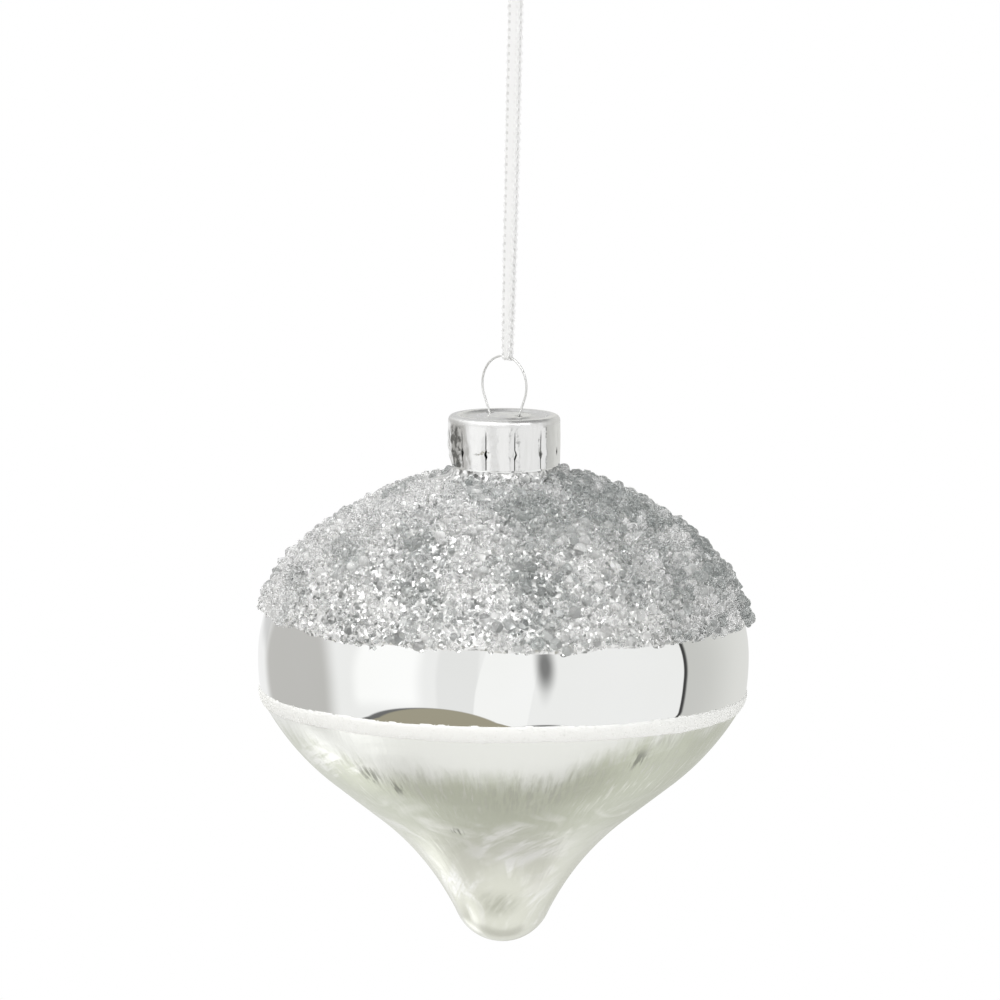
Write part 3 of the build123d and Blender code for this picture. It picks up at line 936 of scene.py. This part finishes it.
def build_beading():
    """Beads and crushed glass heaped on the shoulder, big pieces first and crumbs last in the gaps."""
    rng = random.Random(17)
    draw = shoulder_sampler()
    spots = Spots(2.4)
    glass = bead_glass_material()
    shapes = [convex_chip(rng, 8 + number % 4) for number in range(18)]
    # Each layer: tries, least and greatest reach, how much of it stands proud, crowding, share of
    # round beads, share of drilled beads; the rest are chips.
    layers = [
        (2600, 0.82, 1.1, 0.55, 0.93, 0.24, 0.34),
        (9500, 0.58, 0.84, 0.8, 0.86, 0.22, 0.3),
        (22000, 0.38, 0.6, 1.35, 0.78, 0.0, 0.0),
        (14000, 0.24, 0.36, 2.3, 0.78, 0.0, 0.0),
    ]
    balls, rings, chips = [], [], []
    for tries, least, most, proud, crowding, round_share, ring_share in layers:
        for _ in range(tries):
            size = rng.uniform(least, most)
            found = draw(rng, 0.12 + size * rng.uniform(0.75, 0.75 + proud * 0.5))
            if not found or not spots.free(found[0], size, crowding):
                continue
            centre, outward = found
            if size > most_size_at(centre):
                continue
            spots.add(centre, size)
            tone = bead_tone_and_painted_light(rng, centre)
            pick = rng.random()
            if pick < round_share:
                balls.append((0, centre, random_turn(rng) @ uneven(rng, size, 0.92, 1.05), tone))
            elif pick < round_share + ring_share:
                rings.append((0, centre, leaning_turn(rng, outward, 75) * size * 1.12, tone))
            else:
                shape = rng.randrange(len(shapes))
                chips.append((shape, centre, random_turn(rng) @ uneven(rng, 2.1 * size, 0.7, 1.3), tone))
    half = len(chips) // 2
    pieces = [
        ("round_glass_beads", [ball()], balls, True, ["round_beads"]),
        ("drilled_seed_beads", [rocaille()], rings, True, ["seed_beads"]),
        ("crushed_glass_coarse", shapes, chips[:half], False, ["glass_chips"]),
        ("crushed_glass_fine", shapes, chips[half:], False, []),
    ]
    for name, pool, items, smooth, nodes in pieces:
        dress(scatter_mesh(name, pool, items, smooth), [glass], "clear_beads", *nodes)


def build_glue():
    """Glitter glue under the beads, lumpy, with a ragged lower edge that thins to nothing."""
    points, normals = glass_profile(0.0, 0.35)
    points, normals = between(points, normals, GLUE_TOP, BEAD_EDGE - 2.2)

    def lumps(angle, height):
        radius = np.interp(-height, -points[:, 1], points[:, 0])
        fade = np.clip((height - bead_edge(angle) + 0.35) / 0.5, 0, 1)
        heaped = np.clip((radius - bead_start(angle)) / 1.5, 0, 1)
        thick = 0.1 + 0.24 * np.clip((-10.0 - height) / 3.0, 0, 1) * heaped
        bumps = 0.07 * np.sin(31 * angle + 1.7 * height) + 0.05 * np.sin(57 * angle - 2.3 * height)
        bumps = bumps * heaped
        return thick * (1 + 2 * bumps) * fade + SUNK * (1 - fade)

    glue = lathe("glitter_glue_coat", points, normals, GLUE_SIDES, lumps)
    dress(glue, [glitter_glue_material()], "silver_glitter_glue", "bead_adhesive")
    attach(glue, "ornament")


def build_glitter_line():
    """White glitter line: a low ragged ridge of glue and the grains stuck over it."""
    rng = random.Random(29)
    points, normals = glass_profile(0.0, 0.18)
    points, normals = between(points, normals, GLITTER_TOP + 1.0, GLITTER_BOTTOM - 1.0)
    angles = np.linspace(0, 2 * math.pi, GLITTER_SIDES, endpoint=False)
    tilt = GLITTER_TILT * left_rise(angles)
    top_edge = GLITTER_TOP + tilt + 0.14 * smooth_noise(angles, 3, (8, 13, 34, 55, 89, 144))
    low_edge = GLITTER_BOTTOM + tilt + 0.14 * smooth_noise(angles, 5, (5, 13, 34, 55, 89, 144))

    def ridge(angle, height):
        across = (height - low_edge[None, :]) / (top_edge - low_edge)[None, :]
        crown = np.clip(4 * across * (1 - across), 0, 1) ** 0.5
        outside = (across < 0) | (across > 1)
        return np.where(outside, SUNK, GLITTER_BASE + GLITTER_RISE * crown)

    material = white_glitter_material()
    base = lathe("glitter_line", points, normals, GLITTER_SIDES, ridge)
    set_values(base, "tone", np.full(len(base.data.vertices), 0.8))
    dress(base, [material], "white_glitter", "glitter_band")
    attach(base, "ornament")

    grains = []
    shapes = [convex_chip(rng, 6) for _ in range(6)]
    for _ in range(GRAINS):
        column = rng.randrange(len(angles))
        share = rng.random()
        height = low_edge[column] + share * (top_edge[column] - low_edge[column])
        row = int(np.argmin(np.abs(points[:, 1] - height)))
        crown = math.sqrt(max(0.0, 4 * share * (1 - share)))
        rise = GLITTER_BASE + GLITTER_RISE * crown + rng.uniform(-0.06, 0.02)
        radius = points[row, 0] + rise * math.cos(normals[row])
        up = points[row, 1] + rise * math.sin(normals[row])
        turn = angles[column] + rng.uniform(0, 0.01)
        size = rng.uniform(0.13, 0.27)
        shape = rng.randrange(len(shapes))
        centre = (radius * math.cos(turn), radius * math.sin(turn), up)
        grains.append((shape, centre, random_turn(rng) * size, rng.random()))
    dress(scatter_mesh("glitter_grains", shapes, grains, False), [material], "white_glitter")


# ------------------------ cap and wire


def cap_profile():
    """Outer face of the cap in radius and height: embossed top, rounded edge and skirt, to the hem."""
    points = [(0.0, 0.05), (1.2, 0.04), (2.4, 0.0), (3.6, -0.03), (4.3, -0.06), (4.65, -0.2)]
    points += [(4.9, -0.36), (5.3, -0.4), (6.2, -0.4), (6.7, -0.36)]
    points += [(6.95, -0.2), (7.15, -0.05), (7.5, 0.0), (7.9, 0.0)]
    for turn in np.radians(range(0, 91, 10)):
        radius = CAP_RADIUS - CAP_EDGE + CAP_EDGE * math.sin(turn)
        points.append((radius, -CAP_EDGE + CAP_EDGE * math.cos(turn)))
    for height in np.linspace(-CAP_EDGE, -CAP_HEIGHT, 40)[1:]:
        share = (height + CAP_EDGE) / (CAP_EDGE - CAP_HEIGHT)
        points.append((CAP_RADIUS + (CAP_HEM_RADIUS - CAP_RADIUS) * share**1.5, height))
    return np.array(points)


def slit_half_width(height):
    """Half the gap between two petals at a height: a hairline that opens into a small eyelet."""
    if height >= SLIT_TOP:
        return 0.0
    gap = SLIT_HALF_WIDTH * min(1.0, (SLIT_TOP - height) / 1.2)
    middle = (EYELET_TOP + EYELET_BOTTOM) / 2
    share = abs(height - middle) / ((EYELET_TOP - EYELET_BOTTOM) / 2)
    return max(gap, EYELET_HALF_WIDTH * (1 - share))


def petal_points(petal, share, radius, height):
    """One row of points across a petal; share runs from -1 to 1 between its two slits."""
    half = math.pi / PETALS
    gap_angle = slit_half_width(height) / max(radius, 1.0)
    middle = math.radians(SLIT_TURN) + (petal + 0.5) * 2 * half
    angle = middle + share * (half - gap_angle)
    below = np.clip((-CAP_EDGE - height) / 3.0, 0, 1)
    lower = np.clip((EYELET_TOP - height) / (CAP_HEIGHT + EYELET_TOP), 0, 1) ** 1.5
    from_slit = (1 - np.abs(share)) * half * radius
    crease = -0.05 * below * np.exp(-((from_slit / 0.5) ** 2))
    bulge = 0.05 * below * np.cos(share * math.pi / 2)
    wander = 0.04 * below * math.sin(petal * 2.4 + 0.8) * share
    # The foil is crumpled at the camera's far left, and nearly smooth elsewhere.
    foil = 0.5 + 0.5 * left_rise(angle)
    tuck = (0.03 + 0.5 * foil**8) * lower
    dent = (0.012 + 0.1 * foil**8) * below * np.sin(11 * angle + 1.9 * height)
    dent = dent * np.sin(23 * angle - 1.3 * height)
    reach = radius + crease + bulge + wander + dent - tuck
    drop = height + 0.35 * tuck * np.abs(share) ** 3
    return np.stack([reach * np.cos(angle), reach * np.sin(angle), drop + 0 * angle], axis=-1)


def build_cap():
    """Pressed cap: embossed top, and a skirt of petals parted by slits, dented like thin foil."""
    profile = cap_profile()
    share = np.linspace(-1, 1, PETAL_COLUMNS)
    share = np.sign(share) * np.abs(share) ** 0.8
    rows = []
    for radius, height in profile:
        rows.append(np.concatenate([petal_points(petal, share, radius, height) for petal in range(PETALS)]))
    columns = PETALS * PETAL_COLUMNS
    faces = grid_faces(len(profile), columns)
    row, column = faces[:, 0] // columns, faces[:, 0] % columns
    at_slit = (column % PETAL_COLUMNS == PETAL_COLUMNS - 1) & (profile[:, 1][row + 1] < SLIT_TOP)
    cap = new_mesh("pressed_cap", place(np.vstack(rows)), faces[~at_slit])
    merge_close(cap, 1e-6)
    sheet = cap.modifiers.new("sheet", "SOLIDIFY")
    sheet.thickness = CAP_SHEET * MM
    sheet.offset = -1
    dress(cap, [cap_material()], "cap_metal", "cap_crown")
    apply_modifiers(cap)
    for side in (-1, 1):
        cut_wire_slot(cap, side * wire_leg_x(-CAP_SHEET / 2))
    cap.data.polygons.foreach_set("use_smooth", np.full(len(cap.data.polygons), True))
    cap.data.set_sharp_from_angle(angle=math.radians(40))
    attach(cap, "cap")


def apply_modifiers(obj):
    """Replaces the mesh by its modified self."""
    graph = bpy.context.evaluated_depsgraph_get()
    graph.update()
    mesh = bpy.data.meshes.new_from_object(obj.evaluated_get(graph))
    obj.modifiers.clear()
    obj.data = mesh


def cut_wire_slot(cap, x):
    """Cuts the slot that one of the wire's legs passes through."""
    count = 24
    turn = np.linspace(0, 2 * math.pi, count, endpoint=False)
    across = WIRE_SLOT_ROUND * np.cos(turn) + WIRE_SLOT_STRETCH * np.sign(np.cos(turn)) + x
    outline = np.stack([across, WIRE_SLOT_ROUND * np.sin(turn)], axis=-1)
    low = np.column_stack([outline, np.full(count, -WIRE_SLOT_DEPTH)])
    high = np.column_stack([outline, np.full(count, 1.0)])
    sides = [[i, (i + 1) % count, count + (i + 1) % count, count + i] for i in range(count)]
    ends = [list(range(count - 1, -1, -1)), list(range(count, 2 * count))]
    cutter = bpy.data.meshes.new("slot_cutter")
    cutter.from_pydata(place(np.vstack([low, high])).tolist(), [], sides + ends)
    tool = bpy.data.objects.new("slot_cutter", cutter)
    bpy.context.scene.collection.objects.link(tool)
    cut = cap.modifiers.new("slot", "BOOLEAN")
    cut.object = tool
    cut.operation = "DIFFERENCE"
    cut.solver = "EXACT"
    bpy.context.view_layer.update()
    apply_modifiers(cap)
    bpy.data.objects.remove(tool)


def wire_leg_x(height):
    """Distance from the axis of a straight leg at a height above its knee."""
    below = math.radians(LOOP_BELOW)
    top = LOOP_CENTRE - LOOP_RADIUS * math.sin(below)
    return LOOP_RADIUS * math.cos(below) - (top - height) * math.tan(below)


def wire_path():
    """Centre line of the hanger from the end of one leg, round the loop, to the other's."""
    below = math.radians(LOOP_BELOW)
    turn = np.linspace(math.pi / 2, -below, 60)
    loop = np.stack([LOOP_RADIUS * np.cos(turn), LOOP_CENTRE + LOOP_RADIUS * np.sin(turn)], axis=1)
    leg = (loop[-1][1] - KNEE_HEIGHT) / math.cos(below)
    # In this run a heading of 0 points down and grows towards the axis.
    run = [(None, leg), (KNEE_RADIUS, -LOOP_BELOW - LEG_SPLAY), (None, LEG_LENGTH)]
    side, _, _ = arc_run((loop[-1][0], -loop[-1][1]), below, run, 0.25)
    right = np.vstack([loop, side[1:] * (1, -1)])
    both = np.vstack([right[:0:-1] * (-1, 1), right])
    return np.column_stack([both[:, 0], np.zeros(len(both)), both[:, 1]])


def build_wire():
    """Sprung wire loop with its two splayed legs."""
    vertices, faces = round_tube(wire_path(), WIRE_RADIUS, 16)
    wire = new_mesh("wire_loop", place(vertices), faces)
    dress(wire, [wire_material()], "hanger_wire", "wire_hanger")
    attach(wire, "hanger")


# ------------------------ ribbon


def strand_line(side):
    """Side view (y, height) of one upper strand, bowed out round the hanging eye."""
    eye = 2 * (EYE_OUTER + EYE_INNER) * math.sin(math.radians(EYE_TURN))
    straight = HANG_HEIGHT - eye - PIECE_SPLIT
    # A heading of 0 points up and grows towards the axis.
    run = [(None, straight), (EYE_OUTER, -EYE_TURN), (EYE_INNER, 2 * EYE_TURN), (EYE_OUTER, -EYE_TURN)]
    points, _, _ = arc_run((STRAND_OFFSET, PIECE_SPLIT), 0.0, run, 0.15)
    points = points[points[:, 1] <= STRAND_TOP + 1e-6]
    return points * (side, 1)


def hang_lean(height):
    """Sideways place of the ribbon in mm: it hangs beside the loop's top, and comes back to its knot."""
    out = RIBBON_ASIDE + RIBBON_LEAN * np.clip(height - FOLD_HEIGHT, 0, None)
    back = np.clip((height - TWIST_END) / (HANG_HEIGHT - TWIST_END), 0, 1)
    return out * (0.5 + 0.5 * np.cos(math.pi * back))


def ribbon_course(line):
    """Path, side, up, run along it, half width and cupping, for a strand's (y, height) line."""
    path = np.column_stack([hang_lean(line[:, 1]), line[:, 0], line[:, 1]])
    side, up = path_frames(path, (1, 0, 0))
    pinch = 1 - PINCH * np.exp(-np.clip(line[:, 1] - FOLD_HEIGHT, 0, None) / PINCH_REACH)
    half = RIBBON_HALF_WIDTH * pinch
    return path, side, up, run_length(path), half, RIBBON_CUP * (1 - half / RIBBON_HALF_WIDTH)


def ribbon_cloth(line):
    """Woven strip along a (y, height) line: vertices in mm, quads and UVs in mm."""
    path, side, up, along, half, cupping = ribbon_course(line)
    across = np.linspace(-1, 1, 15)
    scallop = PICOT_SCALLOP * np.cos(2 * math.pi * along / PICOT_PITCH)
    cup = cupping[:, None] * across[None] ** 2
    thick = RIBBON_THICKNESS / 2 * np.sqrt(np.clip(1 - across**6, 0.05, 1))
    wide = (half + scallop)[:, None] * across[None]
    front = np.stack([wide, thick[None] + cup], axis=-1)
    back = np.stack([wide[:, ::-1], -thick[None, ::-1] + cup[:, ::-1]], axis=-1)
    vertices, faces = swept(path, side, up, np.concatenate([front, back], axis=1))
    return vertices, faces, weave_places(np.concatenate([across, across[::-1]]), along)


def weave_places(across, along):
    """UVs in mm for a strip: across runs from -1 to 1 between its edges."""
    places = np.broadcast_arrays((across * RIBBON_HALF_WIDTH)[None, :], along[:, None])
    return np.stack(places, axis=-1).reshape(-1, 2)


def edge_thread(line, edge):
    """Whipped thread round one edge of the strip, one loop to each picot."""
    path, side, up, along, half, cupping = ribbon_course(line)
    phase = 2 * math.pi * along / PICOT_PITCH
    out = edge * (half + THREAD_OUT + THREAD_SWING * np.cos(phase))
    rise = THREAD_SWING * np.sin(phase)
    centre = path + out[:, None] * side + (rise + cupping)[:, None] * up
    return round_tube(centre, THREAD_RADIUS, 7)


def set_weave(obj, uv, hole_shade_strength):
    """Stores the weave's place for each vertex, and how strongly the painted shade in the picot holes shows
    there.
    """
    layer = obj.data.uv_layers.new(name="weave")
    corner = np.zeros(len(obj.data.loops), np.int32)
    obj.data.loops.foreach_get("vertex_index", corner)
    layer.data.foreach_set("uv", uv[corner].astype(np.float32).ravel())
    set_values(obj, "hole_shade_strength", hole_shade_strength)


def ribbon_piece(name, lines, nodes):
    """One mesh of cloth and edge threads along some lines."""
    cloth = [ribbon_cloth(line) for line in lines]
    threads = [edge_thread(line, edge) for line in lines for edge in (-1, 1)]
    cloth_vertices, cloth_faces = joined([(v, f) for v, f, _ in cloth])
    vertices, faces = joined([(cloth_vertices, cloth_faces)] + threads)
    obj = new_mesh(name, place(vertices), faces)
    uv = np.zeros((len(vertices), 2))
    uv[: len(cloth_vertices)] = np.vstack([u for _, _, u in cloth])
    # The painted shade in the picot holes is stronger on the edges that face away from the other strand.
    set_weave(obj, uv, uv[:, 0] * vertices[:, 1] > 0)
    dress(obj, [CLOTH, THREAD], "ribbon_fabric", *nodes)
    index = np.where(np.arange(len(faces)) < len(cloth_faces), 0, 1)
    obj.data.polygons.foreach_set("material_index", index.astype(np.int32))
    return obj


def build_lower_ribbon():
    """The ribbon's fold under the wire and the first stretch of both strands, in one piece."""
    rise = np.arange(PIECE_SPLIT, FOLD_HEIGHT, -0.12)
    down = np.column_stack([np.full(len(rise), -STRAND_OFFSET), rise])
    turn = np.linspace(math.pi, 2 * math.pi, 17)
    fold = np.column_stack([STRAND_OFFSET * np.cos(turn), FOLD_HEIGHT + STRAND_OFFSET * np.sin(turn)])
    line = np.vstack([down, fold, down[::-1] * (-1, 1)])
    nodes = ("ribbon_bight", "bight_cords", "ribbon_strands", "strand_cords")
    ribbon = ribbon_piece("ribbon_lower", [line], nodes)
    start, end = [place((0, 0, FOLD_HEIGHT + bend)) for bend in FOLD_BEND]
    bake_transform(ribbon)


def build_upper_ribbon():
    """Both strands from the first stretch up to the knot."""
    ribbon = ribbon_piece("ribbon_upper", [strand_line(-1), strand_line(1)], ("ribbon_top", "top_cords"))
    start, end = place((0, 0, TWIST_START)), place((0, 0, TWIST_END))
    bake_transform(ribbon)


def knot_strip(path, side_hint, half_width, thickness):
    """Curled strip along a path: vertices in mm, quads and UVs in mm."""
    side, up = path_frames(path, side_hint)
    across = np.linspace(-1, 1, 11)
    thick = thickness / 2 * np.sqrt(np.clip(1 - across**4, 0.1, 1))
    front = np.stack([half_width * across, thick], axis=-1)
    ring = np.concatenate([front, -front])[None] + np.zeros((len(path), 1, 1))
    ring[:, :, 1] -= 0.25 * (ring[:, :, 0] / half_width) ** 2
    vertices, faces = swept(path, side, up, ring)
    return vertices, faces, weave_places(np.concatenate([across, -across]), run_length(path))


def build_knot():
    """Overhand knot with its two cut tails."""
    strips = []
    turn = np.linspace(0, 2 * math.pi, 49)
    # Each turn of the knot: tilt, reach sideways, reach to the front, height above the middle
    turns = [(0.42, 1.45, 1.15, 0.25), (-0.5, 1.3, 1.0, -0.2), (0.05, 1.05, 0.8, 0.0)]
    for tilt, reach, depth, shift in turns:
        height = shift + tilt * reach * np.cos(turn)
        ring = np.column_stack([reach * np.cos(turn), depth * np.sin(turn), height])
        strips.append(knot_strip(ring + (0, 0, HANG_HEIGHT + 1.7), (0.1, 0, 1), 0.95, 0.34))
    for side in (-1, 1):
        tail, _, _ = arc_run((STRAND_OFFSET * 0.8, HANG_HEIGHT + 2.4), 0.0, [(6.0, -20.0), (None, 5.2)], 0.2)
        wave = 0.18 * np.sin(tail[:, 1] * 0.9)
        path = np.column_stack([wave, side * tail[:, 0], tail[:, 1]])
        strips.append(knot_strip(path, (1, 0, 0), RIBBON_HALF_WIDTH * 0.97, RIBBON_THICKNESS))
    vertices, faces = joined([(v, f) for v, f, _ in strips])
    knot = new_mesh("ribbon_knot", place(vertices), faces)
    set_weave(knot, np.vstack([u for _, _, u in strips]), np.full(len(vertices), 0.5))
    dress(knot, [CLOTH], "ribbon_fabric")
    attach(knot, "upper_ribbon")


# ------------------------ light, floor and camera


class Studio:
    """Light that comes from each direction, as a colour built up from panels and ovals.

    turn is degrees to the camera's right of the camera's own direction, rise is degrees above
    level, toward and aside are the direction's parts towards the camera and to its right.
    """

    def __init__(self, tree, colour):
        self.colour = colour
        x, y, z = add(tree, "ShaderNodeTexCoord", output="Generated").parts()
        ahead, across = math.cos(CAMERA_FACING), math.sin(CAMERA_FACING)
        self.toward = x * ahead + y * across
        self.aside = x * -across + y * ahead
        self.turn = self.aside.maths("ARCTAN2", self.toward) * (180 / math.pi)
        self.rise = z.maths("ARCSINE") * (180 / math.pi)

    def paint(self, mask, colour):
        """Lays a colour over what is there, where the mask is 1."""
        self.colour = mask.colour(self.colour, colour)

    def panel(self, turns, rises, soft, colour, slant=0.0):
        """Four-sided patch; slant moves it to the right by so many degrees for each degree up."""
        turn = self.turn - self.rise * slant
        self.paint(window(turn, *turns, soft) * window(self.rise, *rises, soft), colour)

    def oval(self, centre, reach, soft, colour):
        """Oval patch; soft is the share of its reach over which it fades."""
        mask = oval_mask((self.turn - centre[0]) / reach[0], (self.rise - centre[1]) / reach[1], soft)
        self.paint(mask, colour)


def window(value, low, high, soft):
    """1 between two limits, falling to 0 over soft outside each."""
    return value.remap(low - soft, low) * value.remap(high + soft, high)


def grey(level, warm=0.0):
    """Neutral colour, or a slightly warm one."""
    return (level, level * (1 - warm / 3), level * (1 - warm))


def build_world():
    """Soft studio: white panels all round, seen by the object; plain white behind it for the camera."""
    world = bpy.data.worlds.new("studio")
    bpy.context.scene.world = world
    world.use_nodes = True
    tree = world.node_tree
    studio = Studio(tree, (0.9, 0.9, 0.9))

    # Overhead: a bright ceiling on the left and a dim one on the right, and two strong small panels
    studio.panel((-130, 20), (36, 90), 12, grey(1.18))
    studio.panel((20, 181), (38, 90), 12, grey(0.26))
    studio.panel((-181, -130), (38, 90), 12, grey(0.65))
    studio.oval((-38, 50), (19, 15), 0.3, grey(6.5))
    studio.oval((44, 44), (12, 11), 0.3, grey(7.0))

    # Level: the walls that the mirrored waist shows, left to right, and the one behind
    studio.panel((-181, -150), (-2, 32), 5, grey(0.66))
    studio.oval((-118, -8), (36, 40), 0.35, grey(0.54, 0.04))
    studio.panel((-70, -44), (-12, 24), 8, grey(1.04))
    studio.panel((-30, -12.5), (-20, 30), 2.5, grey(0.83))
    studio.panel((-11, 14), (-26, 30), 1.0, grey(0.97), 0.136)
    studio.oval((19.5, 12), (7, 30), 0.85, grey(0.22))
    studio.panel((93.4, 95.8), (-26, 14), 0.8, grey(0.06))
    shaded = studio.turn.remap(97, 150, 0.6, 0.74)
    side = add(tree, "ShaderNodeCombineColor", {0: shaded, 1: shaded, 2: shaded * 0.97})
    studio.panel((96.5, 181), (-34, 34), 2, side)

    # Table edge and cloth, low in front
    studio.oval((-38, -30.4), (43, 14.2), 0.05, grey(0.16))
    studio.oval((-34, -30), (38.5, 13.6), 0.05, (0.36, 0.335, 0.255))
    studio.oval((20, -26.4), (13, 2.4), 0.8, grey(0.16))

    # Below: bright floor in front, darker straight down and behind, and two glints for the drop's sides
    studio.paint(studio.rise.remap(-46, -54), grey(0.97, 0.01))
    nadir = window(studio.toward, -0.5, -0.06, 0.05) * studio.rise.remap(-50, -60)
    studio.paint(nadir * window(studio.aside, -0.35, 0.35, 0.3), grey(0.66, 0.03))
    studio.oval((-142, -40), (18, 13), 0.6, grey(1.4))
    studio.oval((-98, -46), (22, 13), 0.5, grey(1.3))

    path = light_path(tree)
    fill = Value(path["Is Diffuse Ray"]).remap(0.0, 1.0, 1.0, 1.2)
    lit = add(tree, "ShaderNodeBackground", {"Color": studio.colour, "Strength": fill})
    plain = add(tree, "ShaderNodeBackground", {"Color": (1, 1, 1), "Strength": 1.0})
    shown = mix_shaders(Value(path["Is Camera Ray"]), lit, plain)
    plug(tree.nodes["World Output"], {"Surface": shown})


def build_floor():
    """Plain pale floor, well below the hanging ornament and lit clear to white."""
    steps = np.linspace(-FLOOR_REACH, FLOOR_REACH, FLOOR_POINTS)
    x, y = np.meshgrid(steps, steps, indexing="ij")
    grid = np.stack([x, y, np.full_like(x, cad_low.z - FLOOR_DROP)], axis=-1).reshape(-1, 3)
    floor = new_mesh("floor", grid, grid_faces(FLOOR_POINTS, FLOOR_POINTS, False)[:, ::-1])
    material = Material("floor_white", (0.95, 0.95, 0.95), 0.0, 0.7)
    glow = add(material.tree, "ShaderNodeEmission", {"Color": (1, 1, 1), "Strength": 1.0})
    camera_ray = Value(light_path(material.tree)["Is Camera Ray"])
    material.show(mix_shaders(camera_ray, material.surface(), glow))
    floor.data.materials.append(material.data)
    floor.visible_glossy = False
    floor.visible_diffuse = False
    floor.visible_transmission = False


def build_camera():
    """Camera at the ornament's front, turned from the wire loop's face."""
    data = bpy.data.cameras.new("camera")
    data.sensor_width = SENSOR
    data.lens = SENSOR * CAMERA_DISTANCE / CAMERA_SPAN
    data.clip_start, data.clip_end = 0.05, 100.0
    camera = bpy.data.objects.new("camera", data)
    bpy.context.scene.collection.objects.link(camera)
    turn, rise = math.radians(CAMERA_TURN), math.radians(CAMERA_RISE)
    back = Vector((math.sin(turn) * math.cos(rise), -math.cos(turn) * math.cos(rise), math.sin(rise)))
    right = Vector((math.cos(turn), math.sin(turn), 0))
    aim = Vector(place((0, 0, AIM_HEIGHT))) + right * AIM_SIDE * MM
    camera.location = aim + back * CAMERA_DISTANCE
    camera.rotation_mode = "QUATERNION"
    roll = Quaternion((0, 0, 1), math.radians(CAMERA_ROLL))
    camera.rotation_quaternion = back.to_track_quat("Z", "Y") @ roll
    bpy.context.scene.camera = camera


CLOTH = ribbon_material()
THREAD = thread_material()

build_glass_body()
build_frost()
build_glue()
build_beading()
build_glitter_line()
build_cap()
build_wire()
build_lower_ribbon()
build_upper_ribbon()
build_knot()
build_world()
build_floor()
build_camera()

scene = bpy.context.scene
scene.view_settings.view_transform = "Standard"
scene.cycles.use_denoising = True
scene.cycles.max_bounces = 14
scene.cycles.transmission_bounces = 12
scene.cycles.glossy_bounces = 6
scene.cycles.transparent_max_bounces = 16
scene.cycles.sample_clamp_indirect = 6.0
